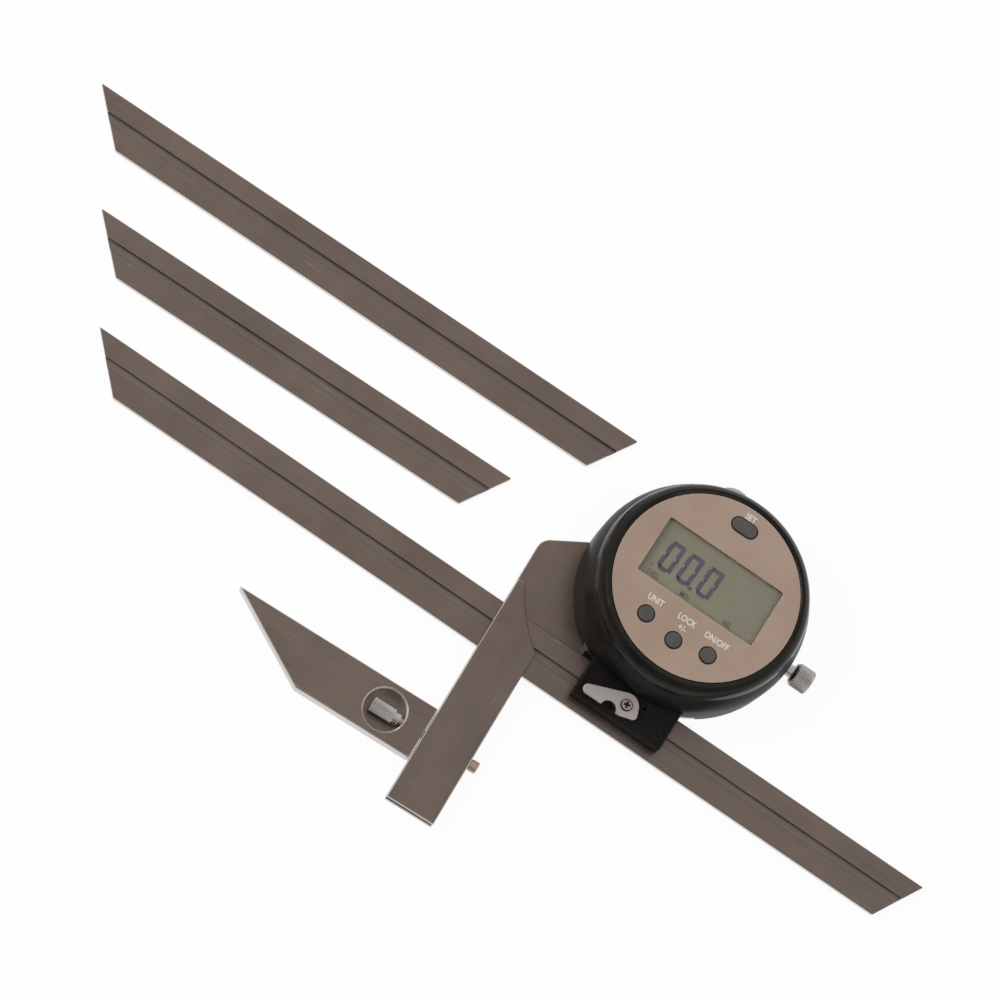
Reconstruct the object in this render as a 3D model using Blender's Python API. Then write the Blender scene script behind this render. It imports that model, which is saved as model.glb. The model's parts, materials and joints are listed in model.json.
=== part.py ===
"""Digital bevel protractor with three blades and an acute-angle attachment.

The tool lies on its back. The stock is the fixed part, with its bar along Y.
The origin is where the head's pivot axis meets the surface it lies on, +Z is up.
"""
import bpy
import bmesh
from math import acos, asin, atan2, cos, hypot, pi, radians, sin, sqrt, tan

MM = 0.001

# Clearances and overruns
GAP = 0.3 * MM
RUN_GAP = 0.2 * MM
OVERRUN = 2.0 * MM

# How the tool is set: the head's turn on the stock, in the photograph
HEAD_TURN = radians(-2.4)

# Case: most of the head takes its place from its radius
CASE_RADIUS = 35.4 * MM
CASE_TAPER = 2.1 * MM
CASE_TOP_RADIUS = CASE_RADIUS - CASE_TAPER
CASE_WALL = 2.2 * MM

# Blades
BLADE_INSET = 2.8 * MM
BLADE_WIDTH = 16.0 * MM
BLADE_THICK = 2.0 * MM
BLADE_LONG = 300.0 * MM
BLADE_MIDDLE = 200.0 * MM
BLADE_SHORT = 150.0 * MM
BLADE_LEFT_ANGLE = radians(45.0)
BLADE_RIGHT_ANGLE = radians(60.0)
BLADE_CHAMFER = 0.2 * MM
GROOVE_INSET = 6.6 * MM
GROOVE_WIDTH = 2.8 * MM
GROOVE_DEPTH = 1.0 * MM
BLADE_REACH = 194.2 * MM
BLADE_OFFSET = CASE_RADIUS - BLADE_INSET
MIDDLE_PLACE = (-238.5 * MM, 44.0 * MM)
MIDDLE_TURN = radians(-1.85)
SHORT_PLACE = (-216.0 * MM, 8.8 * MM)
SHORT_TURN = radians(-1.45)

# Stock
STOCK_WIDTH = 16.0 * MM
STOCK_STAND = 13.1 * MM
STOCK_EDGE = CASE_RADIUS + STOCK_STAND
STOCK_FOOT = 100.4 * MM
PLATE_THICK = 1.7 * MM
PLATE_DISC_INSET = 4.4 * MM
PLATE_DISC = CASE_RADIUS - PLATE_DISC_INSET
DISC_STEPS = 44
SHOULDER_DROP = 6.4 * MM
SHOULDER_ANGLE = radians(30.0)
SHOULDER_ROUND = 5.0 * MM
SHOULDER_STEPS = 6
SKIRT_AZIMUTH = radians(-126.0)
SKIRT_STAND = 8.6 * MM
SKIRT_REACH = CASE_RADIUS + SKIRT_STAND
SKIRT_SLOPE = 1.0 * MM
SKIRT_DROP = SKIRT_REACH - SKIRT_SLOPE
SKIRT_UNDERLAP = 1.9 * MM
SKIRT_SEAT_MARGIN = 4.6 * MM
BAR_THICK = 1.4 * MM
BAR_BLADE_MARGIN = 10.1 * MM
BAR_DROP = BLADE_OFFSET - BAR_BLADE_MARGIN
BAR_ARC_MARGIN = 15.8 * MM
BAR_ARC = CASE_RADIUS + BAR_ARC_MARGIN
BAR_STEPS = 12
ROOT_DEPTH = 4.5 * MM
ROOT_STEPS = 4
WEB_LENGTH = 5.4 * MM
WEB_RECESS = 1.5 * MM
STOCK_CHAMFER = 0.25 * MM
STOCK_SCREW_RADIUS = 0.6 * MM
STOCK_SCREW_HEAD = 1.1 * MM
STOCK_SCREW_COUNTERSINK = 0.6 * MM
ROOT_SCREW_INSET = (1.8 * MM, 2.2 * MM)
WEB_SCREW_SPACING = 9.0 * MM

# Pivot, inside the head and fixed to the stock
HUB_RADIUS = 5.0 * MM
HUB_NECK = 4.0 * MM
HUB_SHOULDER = 5.2 * MM
HUB_TOP = 9.6 * MM
HUB_SCREW_CIRCLE = 2.7 * MM
HUB_SCREW_COUNT = 3
HUB_SCREW_LENGTH = 4.2 * MM
BUSH_RADIUS = 8.0 * MM
GEAR_INSET = 7.4 * MM
GEAR_RADIUS = CASE_RADIUS - GEAR_INSET
GEAR_THICK = 2.0 * MM
GEAR_TEETH = 70
TOOTH_DEPTH = 0.5 * MM
SCALE_INNER = 9.5 * MM
SCALE_MARGIN = 4.0 * MM
SCALE_OUTER = GEAR_RADIUS - SCALE_MARGIN
SCALE_THICK = 0.8 * MM
HUB_NUT_FLATS = 12.0 * MM
HUB_NUT_THICK = 1.6 * MM

# Turret: the head's base, which carries the blade
TURRET_RADIUS = CASE_RADIUS - CASE_WALL - GAP
TURRET_THICK = 1.8 * MM
TURRET_EAR_WIDTH = 40.0 * MM
TURRET_EAR_RADIUS = CASE_RADIUS - RUN_GAP
SEAT_WIDTH = 30.0 * MM
SEAT_THICK = 1.3 * MM
SEAT_OVERLAP = 12.4 * MM
SEAT_REACH = BLADE_OFFSET + SEAT_OVERLAP
SEAT_STAND = 0.4 * MM

# Case and bezel
CASE_STAND = 0.6 * MM
CASE_SHOULDER = 12.5 * MM
CASE_TOP = 20.2 * MM
CASE_CURVE = 1.7
CASE_LEDGE_WIDTH = 3.0 * MM
CASE_LEDGE_INNER = CASE_RADIUS - CASE_WALL - CASE_LEDGE_WIDTH
CASE_LEDGE_THICK = 0.8 * MM
CASE_FLOOR = 10.6 * MM
CASE_FLOOR_THICK = 1.2 * MM
CASE_FLOOR_WIDTH = 13.2 * MM
CASE_FLOOR_BORE = CASE_RADIUS - CASE_WALL - CASE_FLOOR_WIDTH
CASE_NOTCH_HEIGHT = 2.2 * MM
CASE_STEPS = 72
CASE_SCREW_INSET = 4.2 * MM
CASE_SCREW_CIRCLE = CASE_RADIUS - CASE_SCREW_INSET
CASE_SCREW_RADIUS = 0.7 * MM
CASE_SCREW_HEAD = 1.2 * MM
CASE_SCREW_HEAD_THICK = 0.6 * MM
CASE_SCREW_LENGTH = 4.6 * MM
CASE_BOSS_RADIUS = 1.6 * MM
CASE_SCREW_AZIMUTHS = (radians(40.0), radians(155.0), radians(-35.0))
BEZEL_WIDTH = 4.3 * MM
FACE_RADIUS = CASE_TOP_RADIUS - BEZEL_WIDTH
FACE_TOP = 25.5 * MM
FACE_THICK = 0.6 * MM
BEZEL_LIP = 0.3 * MM
BEZEL_RIM = 1.2 * MM
BEZEL_SHELF = 1.6 * MM
BEZEL_SHELF_THICK = 1.0 * MM
BEZEL_BULGE = 0.5 * MM
BEZEL_SPIGOT = 1.8 * MM
BEZEL_SPIGOT_WALL = 1.0 * MM
BEZEL_ARC_POINTS = 6

# Display
DISPLAY_MARGIN = 8.6 * MM
DISPLAY_WIDTH = 2 * (FACE_RADIUS - DISPLAY_MARGIN)
DISPLAY_HEIGHT = 19.8 * MM
DISPLAY_RISE = 2.3 * MM
DISPLAY_CORNER = 0.7 * MM
WINDOW_MARGIN = 1.0 * MM
WINDOW_THICK = 0.5 * MM
MODULE_MARGIN = 1.6 * MM
MODULE_THICK = 2.2 * MM
HOLDER_WALL = 1.6 * MM

# Buttons
BUTTON_RADIUS = 2.5 * MM
BUTTON_CLEARANCE = 0.35 * MM
BUTTON_PROUD = 0.7 * MM
BUTTON_FLANGE = 0.7 * MM
BUTTON_FLANGE_THICK = 0.6 * MM
BUTTON_TRAVEL = 0.5 * MM
BUTTON_CHAMFER = 0.4 * MM
PRESET_LENGTH = 8.5 * MM
PRESET_HEIGHT = 4.5 * MM
PRESET_INSET = 6.5 * MM
HOLD_INSET = 9.2 * MM
SIDE_BUTTON_INSET = 11.3 * MM
SIDE_BUTTON_SPREAD = 11.0 * MM
PRESET_PLACE = (0.0, FACE_RADIUS - PRESET_INSET)
MODE_PLACE = (-SIDE_BUTTON_SPREAD, SIDE_BUTTON_INSET - FACE_RADIUS)
HOLD_PLACE = (0.0, HOLD_INSET - FACE_RADIUS)
ZERO_PLACE = (SIDE_BUTTON_SPREAD, SIDE_BUTTON_INSET - FACE_RADIUS)

# Electronics
BOARD_TOP = 18.2 * MM
BOARD_THICK = 1.2 * MM
BOARD_MARGIN = 1.5 * MM
BOARD_RADIUS = CASE_TOP_RADIUS - CASE_WALL - BOARD_MARGIN
BOARD_POST_INSET = 6.8 * MM
BOARD_POST_CIRCLE = CASE_TOP_RADIUS - BOARD_POST_INSET
BOARD_POST_RADIUS = 1.7 * MM
BOARD_SCREW_RADIUS = 0.7 * MM
BOARD_SCREW_HEAD = 1.4 * MM
BOARD_SCREW_HEAD_THICK = 0.8 * MM
BOARD_SCREW_LENGTH = 3.6 * MM
BOARD_POST_AZIMUTHS = (radians(75.0), radians(195.0), radians(-22.0))
MAT_THICK = 0.9 * MM
MAT_MARGIN = 0.9 * MM
MAT_RADIUS = CASE_TOP_RADIUS - CASE_WALL - BEZEL_SPIGOT_WALL - MAT_MARGIN
MAT_DOME_RADIUS = 1.9 * MM
READER_INNER = 10.5 * MM
READER_OUTER = SCALE_OUTER
READER_THICK = 0.9 * MM
CELL_RADIUS = 10.0 * MM
CELL_THICK = 3.2 * MM
CLIP_WIDTH = 7.0 * MM
CLIP_THICK = 0.4 * MM

# Clamp block, its lever and its keys
BLOCK_WIDTH = 31.2 * MM
BLOCK_OVER_BLADE = 12.8 * MM
BLOCK_LOW_EDGE = BLADE_OFFSET + BLOCK_OVER_BLADE
BLOCK_BEHIND_BLADE = 3.4 * MM
BLOCK_BACK = BLADE_OFFSET - BLOCK_BEHIND_BLADE
BLOCK_TOP = 9.6 * MM
BLOCK_CHAMFER = 0.3 * MM
BLOCK_HOLD_SPACING = 20.0 * MM
BLOCK_HOLD_INSET = 1.7 * MM
BLOCK_HOLD_BACK = BLADE_OFFSET - BLOCK_HOLD_INSET
BLOCK_HOLD_RADIUS = 0.7 * MM
BLOCK_HOLD_HEAD = 1.1 * MM
BLOCK_HOLD_HEAD_THICK = 0.5 * MM
BLOCK_HOLD_LENGTH = 4.6 * MM
LEVER_STAND = 4.7 * MM
LEVER_DROP = CASE_RADIUS + LEVER_STAND
LEVER_THICK = 1.3 * MM
LEVER_BORE = 1.5 * MM
LEVER_HUB = 4.0 * MM
LEVER_TIP_PLACE = (-12.2 * MM, -2.3 * MM)
LEVER_TIP_RADIUS = 1.6 * MM
LEVER_CORNER_PLACE = (3.3 * MM, -1.4 * MM)
LEVER_CORNER_RADIUS = 1.35 * MM
LEVER_HEEL_PLACE = (-0.4 * MM, -2.5 * MM)
LEVER_HEEL_RADIUS = 1.35 * MM
NOTCH_PLACE = (-4.1 * MM, -4.0 * MM)
NOTCH_RADIUS = 2.55 * MM
LEVER_STEPS = 7
LEVER_CHAMFER = 0.2 * MM
LEVER_SCREW_HEAD = 1.85 * MM
LEVER_SCREW_HEAD_THICK = 0.7 * MM
LEVER_SCREW_DEPTH = 3.0 * MM
KEY_CLEARANCE = 0.3 * MM
KEY_LENGTH = 8.0 * MM
KEY_HEIGHT = 1.9 * MM
KEY_PIN_RADIUS = 0.8 * MM
KEY_PIN_OFFSET = 3.0 * MM
KEY_LIFT = 0.4 * MM
BLOCK_SCREW_SPACING = 26.4 * MM
BLOCK_SCREW_HEAD = 1.6 * MM
BLOCK_SCREW_HEAD_THICK = 1.1 * MM
BLOCK_SCREW_RADIUS = 0.8 * MM
BLOCK_SCREW_RECESS = 0.5 * MM
GUIDE_LENGTH = 4.0 * MM
PIN_HOLE_OFFSET = (5.4 * MM, 2.8 * MM)
PIN_HOLE_RADIUS = 0.6 * MM
PIN_HOLE_DEPTH = 2.0 * MM
SOCKET_OFFSET = (-3.6 * MM, -2.8 * MM)
SOCKET_RADIUS = 1.1 * MM
SOCKET_DEPTH = 1.0 * MM

# Lock knob and brake pin, along the head's X
LOCK_HEIGHT = 6.2 * MM
LOCK_KNOB_RADIUS = 3.9 * MM
LOCK_KNOB_STAND = 2.4 * MM
LOCK_KNOB_START = CASE_RADIUS + LOCK_KNOB_STAND
LOCK_KNOB_LENGTH = 6.4 * MM
LOCK_KNOB_UNDERCUT = 1.1 * MM
LOCK_KNOB_ROUND = 0.7 * MM
LOCK_SHANK_RADIUS = 2.0 * MM
LOCK_SHANK_INSET = 2.8 * MM
LOCK_SHANK_START = CASE_RADIUS - LOCK_SHANK_INSET
LOCK_BOSS_WIDTH = 6.0 * MM
LOCK_BOSS_MARGIN = 1.6 * MM
LOCK_BOSS_START = GEAR_RADIUS + LOCK_BOSS_MARGIN
LOCK_BOSS_TOP = 8.6 * MM
BRAKE_RADIUS = 1.3 * MM
BRAKE_STROKE = 0.4 * MM
KNURL_TEETH = 32
KNURL_DEPTH = 0.22 * MM

# Fine-adjustment wheel
WHEEL_AZIMUTH = radians(99.6)
WHEEL_INSET = 3.8 * MM
WHEEL_CIRCLE = CASE_RADIUS - WHEEL_INSET
WHEEL_RADIUS = 7.2 * MM
WHEEL_LOW = 8.0 * MM
WHEEL_THICK = 2.0 * MM
WHEEL_TEETH = 36
WHEEL_SLOT_SIDE = 0.6 * MM
WHEEL_PIN_RADIUS = 1.2 * MM
WHEEL_PIN_TOP = 10.4 * MM

# Acute-angle attachment, square to the stock's bar
ATTACHMENT_WIDTH = 17.2 * MM
ATTACHMENT_LENGTH = 68.8 * MM
ATTACHMENT_THICK = 5.1 * MM
ATTACHMENT_ANGLE = radians(30.0)
ATTACHMENT_DROP = 70.0 * MM
ATTACHMENT_CHAMFER = 0.25 * MM
POCKET_RADIUS = 6.5 * MM
POCKET_DISTANCE = 13.3 * MM
POCKET_FLOOR = 0.4 * MM
POCKET_CHAMFER = 0.5 * MM
THUMB_NUT_RADIUS = 2.3 * MM
THUMB_NUT_LENGTH = 7.9 * MM
THUMB_NUT_START = 4.5 * MM
THUMB_COLLAR_RADIUS = 1.95 * MM
THUMB_COLLAR_LENGTH = 2.0 * MM
THUMB_BORE_WALL = 1.4 * MM
ROD_RADIUS = 1.2 * MM
ROD_TONGUE_WIDTH = 2.6 * MM
ROD_TONGUE_THICK = 1.9 * MM
ROD_HEAD_RADIUS = 1.85 * MM
ROD_HEAD_LENGTH = 2.5 * MM
ROD_HEAD_CHAMFER = 0.3 * MM

# Levels worked out from the sizes above
BLADE_LOW = PLATE_THICK + GAP
BLADE_TOP = BLADE_LOW + BLADE_THICK
BAR_LOW = BLADE_TOP + GAP
BAR_TOP = BAR_LOW + BAR_THICK
SLOT_MIDDLE = (PLATE_THICK + BAR_LOW) / 2
TURRET_LOW = PLATE_THICK + GAP
TURRET_TOP = TURRET_LOW + TURRET_THICK
CASE_LOW = PLATE_THICK + CASE_STAND
BLOCK_LOW = BLADE_TOP + GAP
BLADE_FLAT = BLADE_OFFSET - GAP
GROOVE_MIDDLE = BLADE_OFFSET + GROOVE_INSET + GROOVE_WIDTH / 2
GROOVE_FLOOR = BLADE_TOP - GROOVE_DEPTH
GEAR_LOW = HUB_SHOULDER + GAP
GEAR_TOP = GEAR_LOW + GEAR_THICK
SCALE_LOW = GEAR_TOP + GAP
FACE_LOW = FACE_TOP - FACE_THICK
BUTTON_TOP = FACE_TOP + BUTTON_PROUD
FLANGE_TOP = FACE_LOW - GAP
MAT_LOW = BOARD_TOP + GAP
DOME_TOP = MAT_LOW + 2 * MAT_THICK
BUTTON_LOW = DOME_TOP + BUTTON_TRAVEL + RUN_GAP
WINDOW_TOP = FACE_LOW - GAP
MODULE_TOP = WINDOW_TOP - WINDOW_THICK - GAP
MODULE_LOW = MODULE_TOP - MODULE_THICK
BOARD_LOW = BOARD_TOP - BOARD_THICK
CELL_TOP = BOARD_LOW - GAP
WHEEL_TOP = WHEEL_LOW + WHEEL_THICK
READER_TOP = CASE_FLOOR - GAP
LEVER_LOW = BLOCK_TOP + GAP
LEVER_TOP = LEVER_LOW + LEVER_THICK
ROD_LEVEL = SLOT_MIDDLE

STEEL = ("ground_steel", (0.42, 0.36, 0.32), 0.32, 1.0)
BRIGHT = ("bright_steel", (0.62, 0.60, 0.58), 0.25, 1.0)
BLACK_STEEL = ("black_steel", (0.02, 0.02, 0.02), 0.40, 0.6)
BLACK_CASE = ("black_case", (0.018, 0.018, 0.017), 0.35, 0.0)
CHAMPAGNE = ("champagne_aluminium", (0.55, 0.46, 0.39), 0.38, 0.9)
DISPLAY_GREY = ("display", (0.30, 0.30, 0.24), 0.30, 0.0)
CLEAR = ("clear_window", (0.80, 0.82, 0.80), 0.05, 0.0)
BUTTON_GREY = ("button_grey", (0.10, 0.10, 0.10), 0.50, 0.0)
RUBBER = ("rubber", (0.15, 0.15, 0.15), 0.80, 0.0)
BOARD_GREEN = ("board", (0.02, 0.16, 0.06), 0.45, 0.0)
BRASS = ("brass", (0.60, 0.44, 0.18), 0.30, 1.0)


def clear_scene():
    for obj in list(bpy.data.objects):
        bpy.data.objects.remove(obj, do_unlink=True)


def material(finish):
    name, colour, roughness, metallic = finish
    found = bpy.data.materials.get(name)
    if found:
        return found
    made = bpy.data.materials.new(name)
    made.use_nodes = True
    shader = made.node_tree.nodes["Principled BSDF"]
    shader.inputs["Base Color"].default_value = (*colour, 1.0)
    shader.inputs["Roughness"].default_value = roughness
    shader.inputs["Metallic"].default_value = metallic
    made.diffuse_color = (*colour, 1.0)
    return made


def new_object(name, bm, finish=None, smooth_angle=35.0):
    """Closes the mesh up, turns its faces outwards and links it as an object."""
    bmesh.ops.recalc_face_normals(bm, faces=bm.faces)
    mesh = bpy.data.meshes.new(name)
    bm.to_mesh(mesh)
    bm.free()
    mesh.shade_smooth()
    mesh.set_sharp_from_angle(angle=radians(smooth_angle))
    obj = bpy.data.objects.new(name, mesh)
    bpy.context.scene.collection.objects.link(obj)
    if finish:
        mesh.materials.append(material(finish))
    return obj


def prism(name, outline, low, high, finish=None):
    """An outline in X and Y, run from one height to another."""
    bm = bmesh.new()
    face = bm.faces.new([bm.verts.new((x, y, low)) for x, y in outline])
    run = bmesh.ops.extrude_face_region(bm, geom=[face])
    raised = [item for item in run["geom"] if isinstance(item, bmesh.types.BMVert)]
    bmesh.ops.translate(bm, verts=raised, vec=(0.0, 0.0, high - low))
    return new_object(name, bm, finish)


def block(name, centre, width, depth, low, high, finish=None):
    x, y = centre
    outline = [(x - width / 2, y - depth / 2), (x + width / 2, y - depth / 2),
               (x + width / 2, y + depth / 2), (x - width / 2, y + depth / 2)]
    return prism(name, outline, low, high, finish)


def circle(radius, steps, centre=(0.0, 0.0)):
    return [(centre[0] + radius * cos(2 * pi * i / steps),
             centre[1] + radius * sin(2 * pi * i / steps)) for i in range(steps)]


def arc(centre, radius, start, end, points):
    """Points on an arc, both ends included."""
    turns = [start + (end - start) * i / (points - 1) for i in range(points)]
    return [(centre[0] + radius * cos(a), centre[1] + radius * sin(a)) for a in turns]


def drum(name, centre, radius, low, high, finish=None, steps=24):
    return prism(name, circle(radius, steps, centre), low, high, finish)


def pill(length, height, steps=10):
    """An outline with straight sides and half-round ends."""
    run = (length - height) / 2
    right = arc((run, 0.0), height / 2, -pi / 2, pi / 2, steps)
    left = arc((-run, 0.0), height / 2, pi / 2, 3 * pi / 2, steps)
    return right + left


def rounded(width, height, radius, centre=(0.0, 0.0), steps=4):
    """A rectangle's outline with round corners."""
    x, y = centre
    dx = width / 2 - radius
    dy = height / 2 - radius
    corners = ((dx, dy, 0.0), (-dx, dy, pi / 2), (-dx, -dy, pi), (dx, -dy, 3 * pi / 2))
    outline = []
    for cx, cy, start in corners:
        outline += arc((x + cx, y + cy), radius, start, start + pi / 2, steps)
    return outline


def rings(name, stations, finish=None, closed=False, angle=35.0):
    """Joins rings of equal counts into one skin. A ring of one point is a tip."""
    bm = bmesh.new()
    loops = [[bm.verts.new(point) for point in ring] for ring in stations]
    pairs = list(zip(loops, loops[1:]))
    if closed:
        pairs.append((loops[-1], loops[0]))
    for first, second in pairs:
        count = max(len(first), len(second))
        for i in range(count):
            j = (i + 1) % count
            if len(first) == 1:
                corners = (first[0], second[i], second[j])
            elif len(second) == 1:
                corners = (first[i], second[0], first[j])
            else:
                corners = (first[i], second[i], second[j], first[j])
            bm.faces.new(corners)
    return new_object(name, bm, finish, angle)


def ring_at(radius, height, steps):
    if radius == 0.0:
        return [(0.0, 0.0, height)]
    return [(x, y, height) for x, y in circle(radius, steps)]


def turned(name, profile, finish=None, steps=48, closed=False, angle=35.0):
    """A profile of radius and height, turned about Z."""
    return rings(name, [ring_at(r, z, steps) for r, z in profile], finish, closed, angle)


def fluted_ring(radius, depth, height, teeth):
    """A ring whose radius steps in by the depth between its teeth."""
    points = []
    for i in range(2 * teeth):
        r = radius if i % 2 == 0 else radius - depth
        points.append((r * cos(pi * i / teeth), r * sin(pi * i / teeth), height))
    return points


def fluted(name, stations, teeth, finish, bore=0.0):
    """Knurled or toothed turned work: stations of radius, depth and height."""
    low = stations[0][2]
    high = stations[-1][2]
    skin = [fluted_ring(r, depth, z, teeth) for r, depth, z in stations]
    if bore:
        skin = [fluted_ring(bore, 0.0, low, teeth)] + skin + [fluted_ring(bore, 0.0, high, teeth)]
    else:
        skin = [[(0.0, 0.0, low)]] + skin + [[(0.0, 0.0, high)]]
    return rings(name, skin, finish, bore > 0.0, 20.0)


def combine(target, other, operation):
    modifier = target.modifiers.new(operation.lower() + "_" + other.name, "BOOLEAN")
    modifier.operation = operation
    modifier.solver = "EXACT"
    modifier.object = other
    other.hide_render = True
    other.display_type = "WIRE"
    other.parent = target


def cut(target, *cutters):
    for cutter in cutters:
        combine(target, cutter, "DIFFERENCE")


def fuse(target, *others):
    for other in others:
        combine(target, other, "UNION")


def chamfer(obj, width, angle=40.0):
    modifier = obj.modifiers.new("chamfer", "BEVEL")
    modifier.width = width
    modifier.segments = 1
    modifier.limit_method = "ANGLE"
    modifier.angle_limit = radians(angle)


def carry(parent, *pieces):
    for piece in pieces:
        piece.parent = parent


def along_x(obj, location):
    """Lays a piece that was turned about Z along X, low end first."""
    obj.rotation_euler = (0.0, pi / 2, 0.0)
    obj.location = location


def bored_drum(name, outer, inner, low, high, finish, steps=48):
    profile = [(inner, low), (outer, low), (outer, high), (inner, high)]
    return turned(name, profile, finish, steps, closed=True)


def screw(name, place, low, high, radius, head_radius, head_low, head_high, finish=BRIGHT):
    """A cylinder-head screw along Z. The head's two levels may be at either end."""
    if head_low <= low:
        profile = [(0.0, head_low), (head_radius, head_low), (head_radius, head_high),
                   (radius, head_high), (radius, high), (0.0, high)]
    else:
        profile = [(0.0, low), (radius, low), (radius, head_low),
                   (head_radius, head_low), (head_radius, head_high), (0.0, head_high)]
    made = turned(name, profile, finish, steps=20)
    made.location = (place[0], place[1], 0.0)
    return made


# Stock

def plate_outline():
    """Bar, shoulder and disc of the back plate, as one outline."""
    right = STOCK_WIDTH - STOCK_EDGE
    rise = SHOULDER_ANGLE
    line = -SHOULDER_DROP + STOCK_EDGE * tan(rise)
    foot = line * cos(rise)
    meet = pi / 2 + rise + acos(foot / PLATE_DISC)
    outline = [(-STOCK_EDGE, -STOCK_FOOT), (right, -STOCK_FOOT), (right, -SKIRT_DROP)]
    outline.append((SKIRT_REACH * cos(SKIRT_AZIMUTH), SKIRT_REACH * sin(SKIRT_AZIMUTH)))
    outline.append((-SEAT_WIDTH / 2 - SKIRT_SEAT_MARGIN, -BLADE_OFFSET - SKIRT_UNDERLAP))
    outline += arc((0.0, 0.0), PLATE_DISC, SKIRT_AZIMUTH, meet, DISC_STEPS)
    corner_turn = pi / 2 - rise
    back = SHOULDER_ROUND * tan(corner_turn / 2)
    centre = (-STOCK_EDGE + SHOULDER_ROUND, -SHOULDER_DROP - back)
    outline += arc(centre, SHOULDER_ROUND, pi / 2 + rise, pi, SHOULDER_STEPS)
    return outline


def bar_outline():
    """The front bar: square foot, left edge, short top and an arc about the pivot."""
    right = STOCK_WIDTH - STOCK_EDGE
    start = pi + asin(BAR_DROP / BAR_ARC)
    end = 3 * pi / 2 - asin(-right / BAR_ARC)
    outline = [(-STOCK_EDGE, -STOCK_FOOT), (right, -STOCK_FOOT)]
    outline += arc((0.0, 0.0), BAR_ARC, end, start, BAR_STEPS)
    outline.append((-STOCK_EDGE, -BAR_DROP))
    return outline


def root_outline():
    """The part of the bar's top that reaches back to the plate."""
    edge = BAR_ARC + GAP
    start = pi + asin(BAR_DROP / edge)
    end = pi + asin((BAR_DROP + ROOT_DEPTH) / edge)
    outline = arc((0.0, 0.0), edge, end, start, ROOT_STEPS)
    outline += [(-STOCK_EDGE, -BAR_DROP), (-STOCK_EDGE, -BAR_DROP - ROOT_DEPTH)]
    return outline


def stock_screw_places():
    middle = -STOCK_EDGE + STOCK_WIDTH / 2
    foot = -STOCK_FOOT + WEB_RECESS + WEB_LENGTH / 2
    return [(-STOCK_EDGE + ROOT_SCREW_INSET[0], -BAR_DROP - ROOT_SCREW_INSET[1]),
            (middle - WEB_SCREW_SPACING / 2, foot),
            (middle + WEB_SCREW_SPACING / 2, foot)]


def countersunk(name, place, head, radius, sink, low, high, finish=None):
    profile = [(0.0, low), (head, low), (radius, low + sink), (radius, high), (0.0, high)]
    made = turned(name, profile, finish, steps=20)
    made.location = (place[0], place[1], 0.0)
    return made


def sink(name, place, head, radius, depth):
    """The cutter for a countersunk hole in the plate, run out past its back face."""
    profile = [(0.0, -OVERRUN), (head, -OVERRUN), (head, 0.0), (radius, depth),
               (radius, PLATE_THICK + OVERRUN), (0.0, PLATE_THICK + OVERRUN)]
    made = turned(name, profile, steps=20)
    made.location = (place[0], place[1], 0.0)
    return made


def add_stock():
    plate = prism("stock_plate", plate_outline(), 0.0, PLATE_THICK, STEEL)
    chamfer(plate, STOCK_CHAMFER)
    bar = prism("stock_bar", bar_outline(), BAR_LOW, BAR_TOP, STEEL)
    low = PLATE_THICK + GAP
    root = prism("root_form", root_outline(), low, BAR_LOW + BAR_THICK / 2)
    middle = (-STOCK_EDGE + STOCK_WIDTH / 2, -STOCK_FOOT + WEB_RECESS + WEB_LENGTH / 2)
    web = block("web_form", middle, STOCK_WIDTH - 2 * STOCK_CHAMFER, WEB_LENGTH,
                low, BAR_LOW + BAR_THICK / 2)
    chamfer(bar, STOCK_CHAMFER)
    fuse(bar, root, web)
    high = BAR_LOW + BAR_THICK / 2
    for number, place in enumerate(stock_screw_places(), 1):
        hole = STOCK_SCREW_RADIUS + RUN_GAP
        tail = "_%d" % number
        countersunk("stock_screw" + tail, place, STOCK_SCREW_HEAD, STOCK_SCREW_RADIUS,
                    STOCK_SCREW_COUNTERSINK, RUN_GAP, high - RUN_GAP, BRIGHT)
        cut(plate, sink("plate_screw_hole" + tail, place, STOCK_SCREW_HEAD + RUN_GAP, hole,
                        STOCK_SCREW_COUNTERSINK + RUN_GAP))
        cut(bar, drum("bar_screw_hole" + tail, place, hole, low - OVERRUN, high, steps=20))
    return plate


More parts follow.
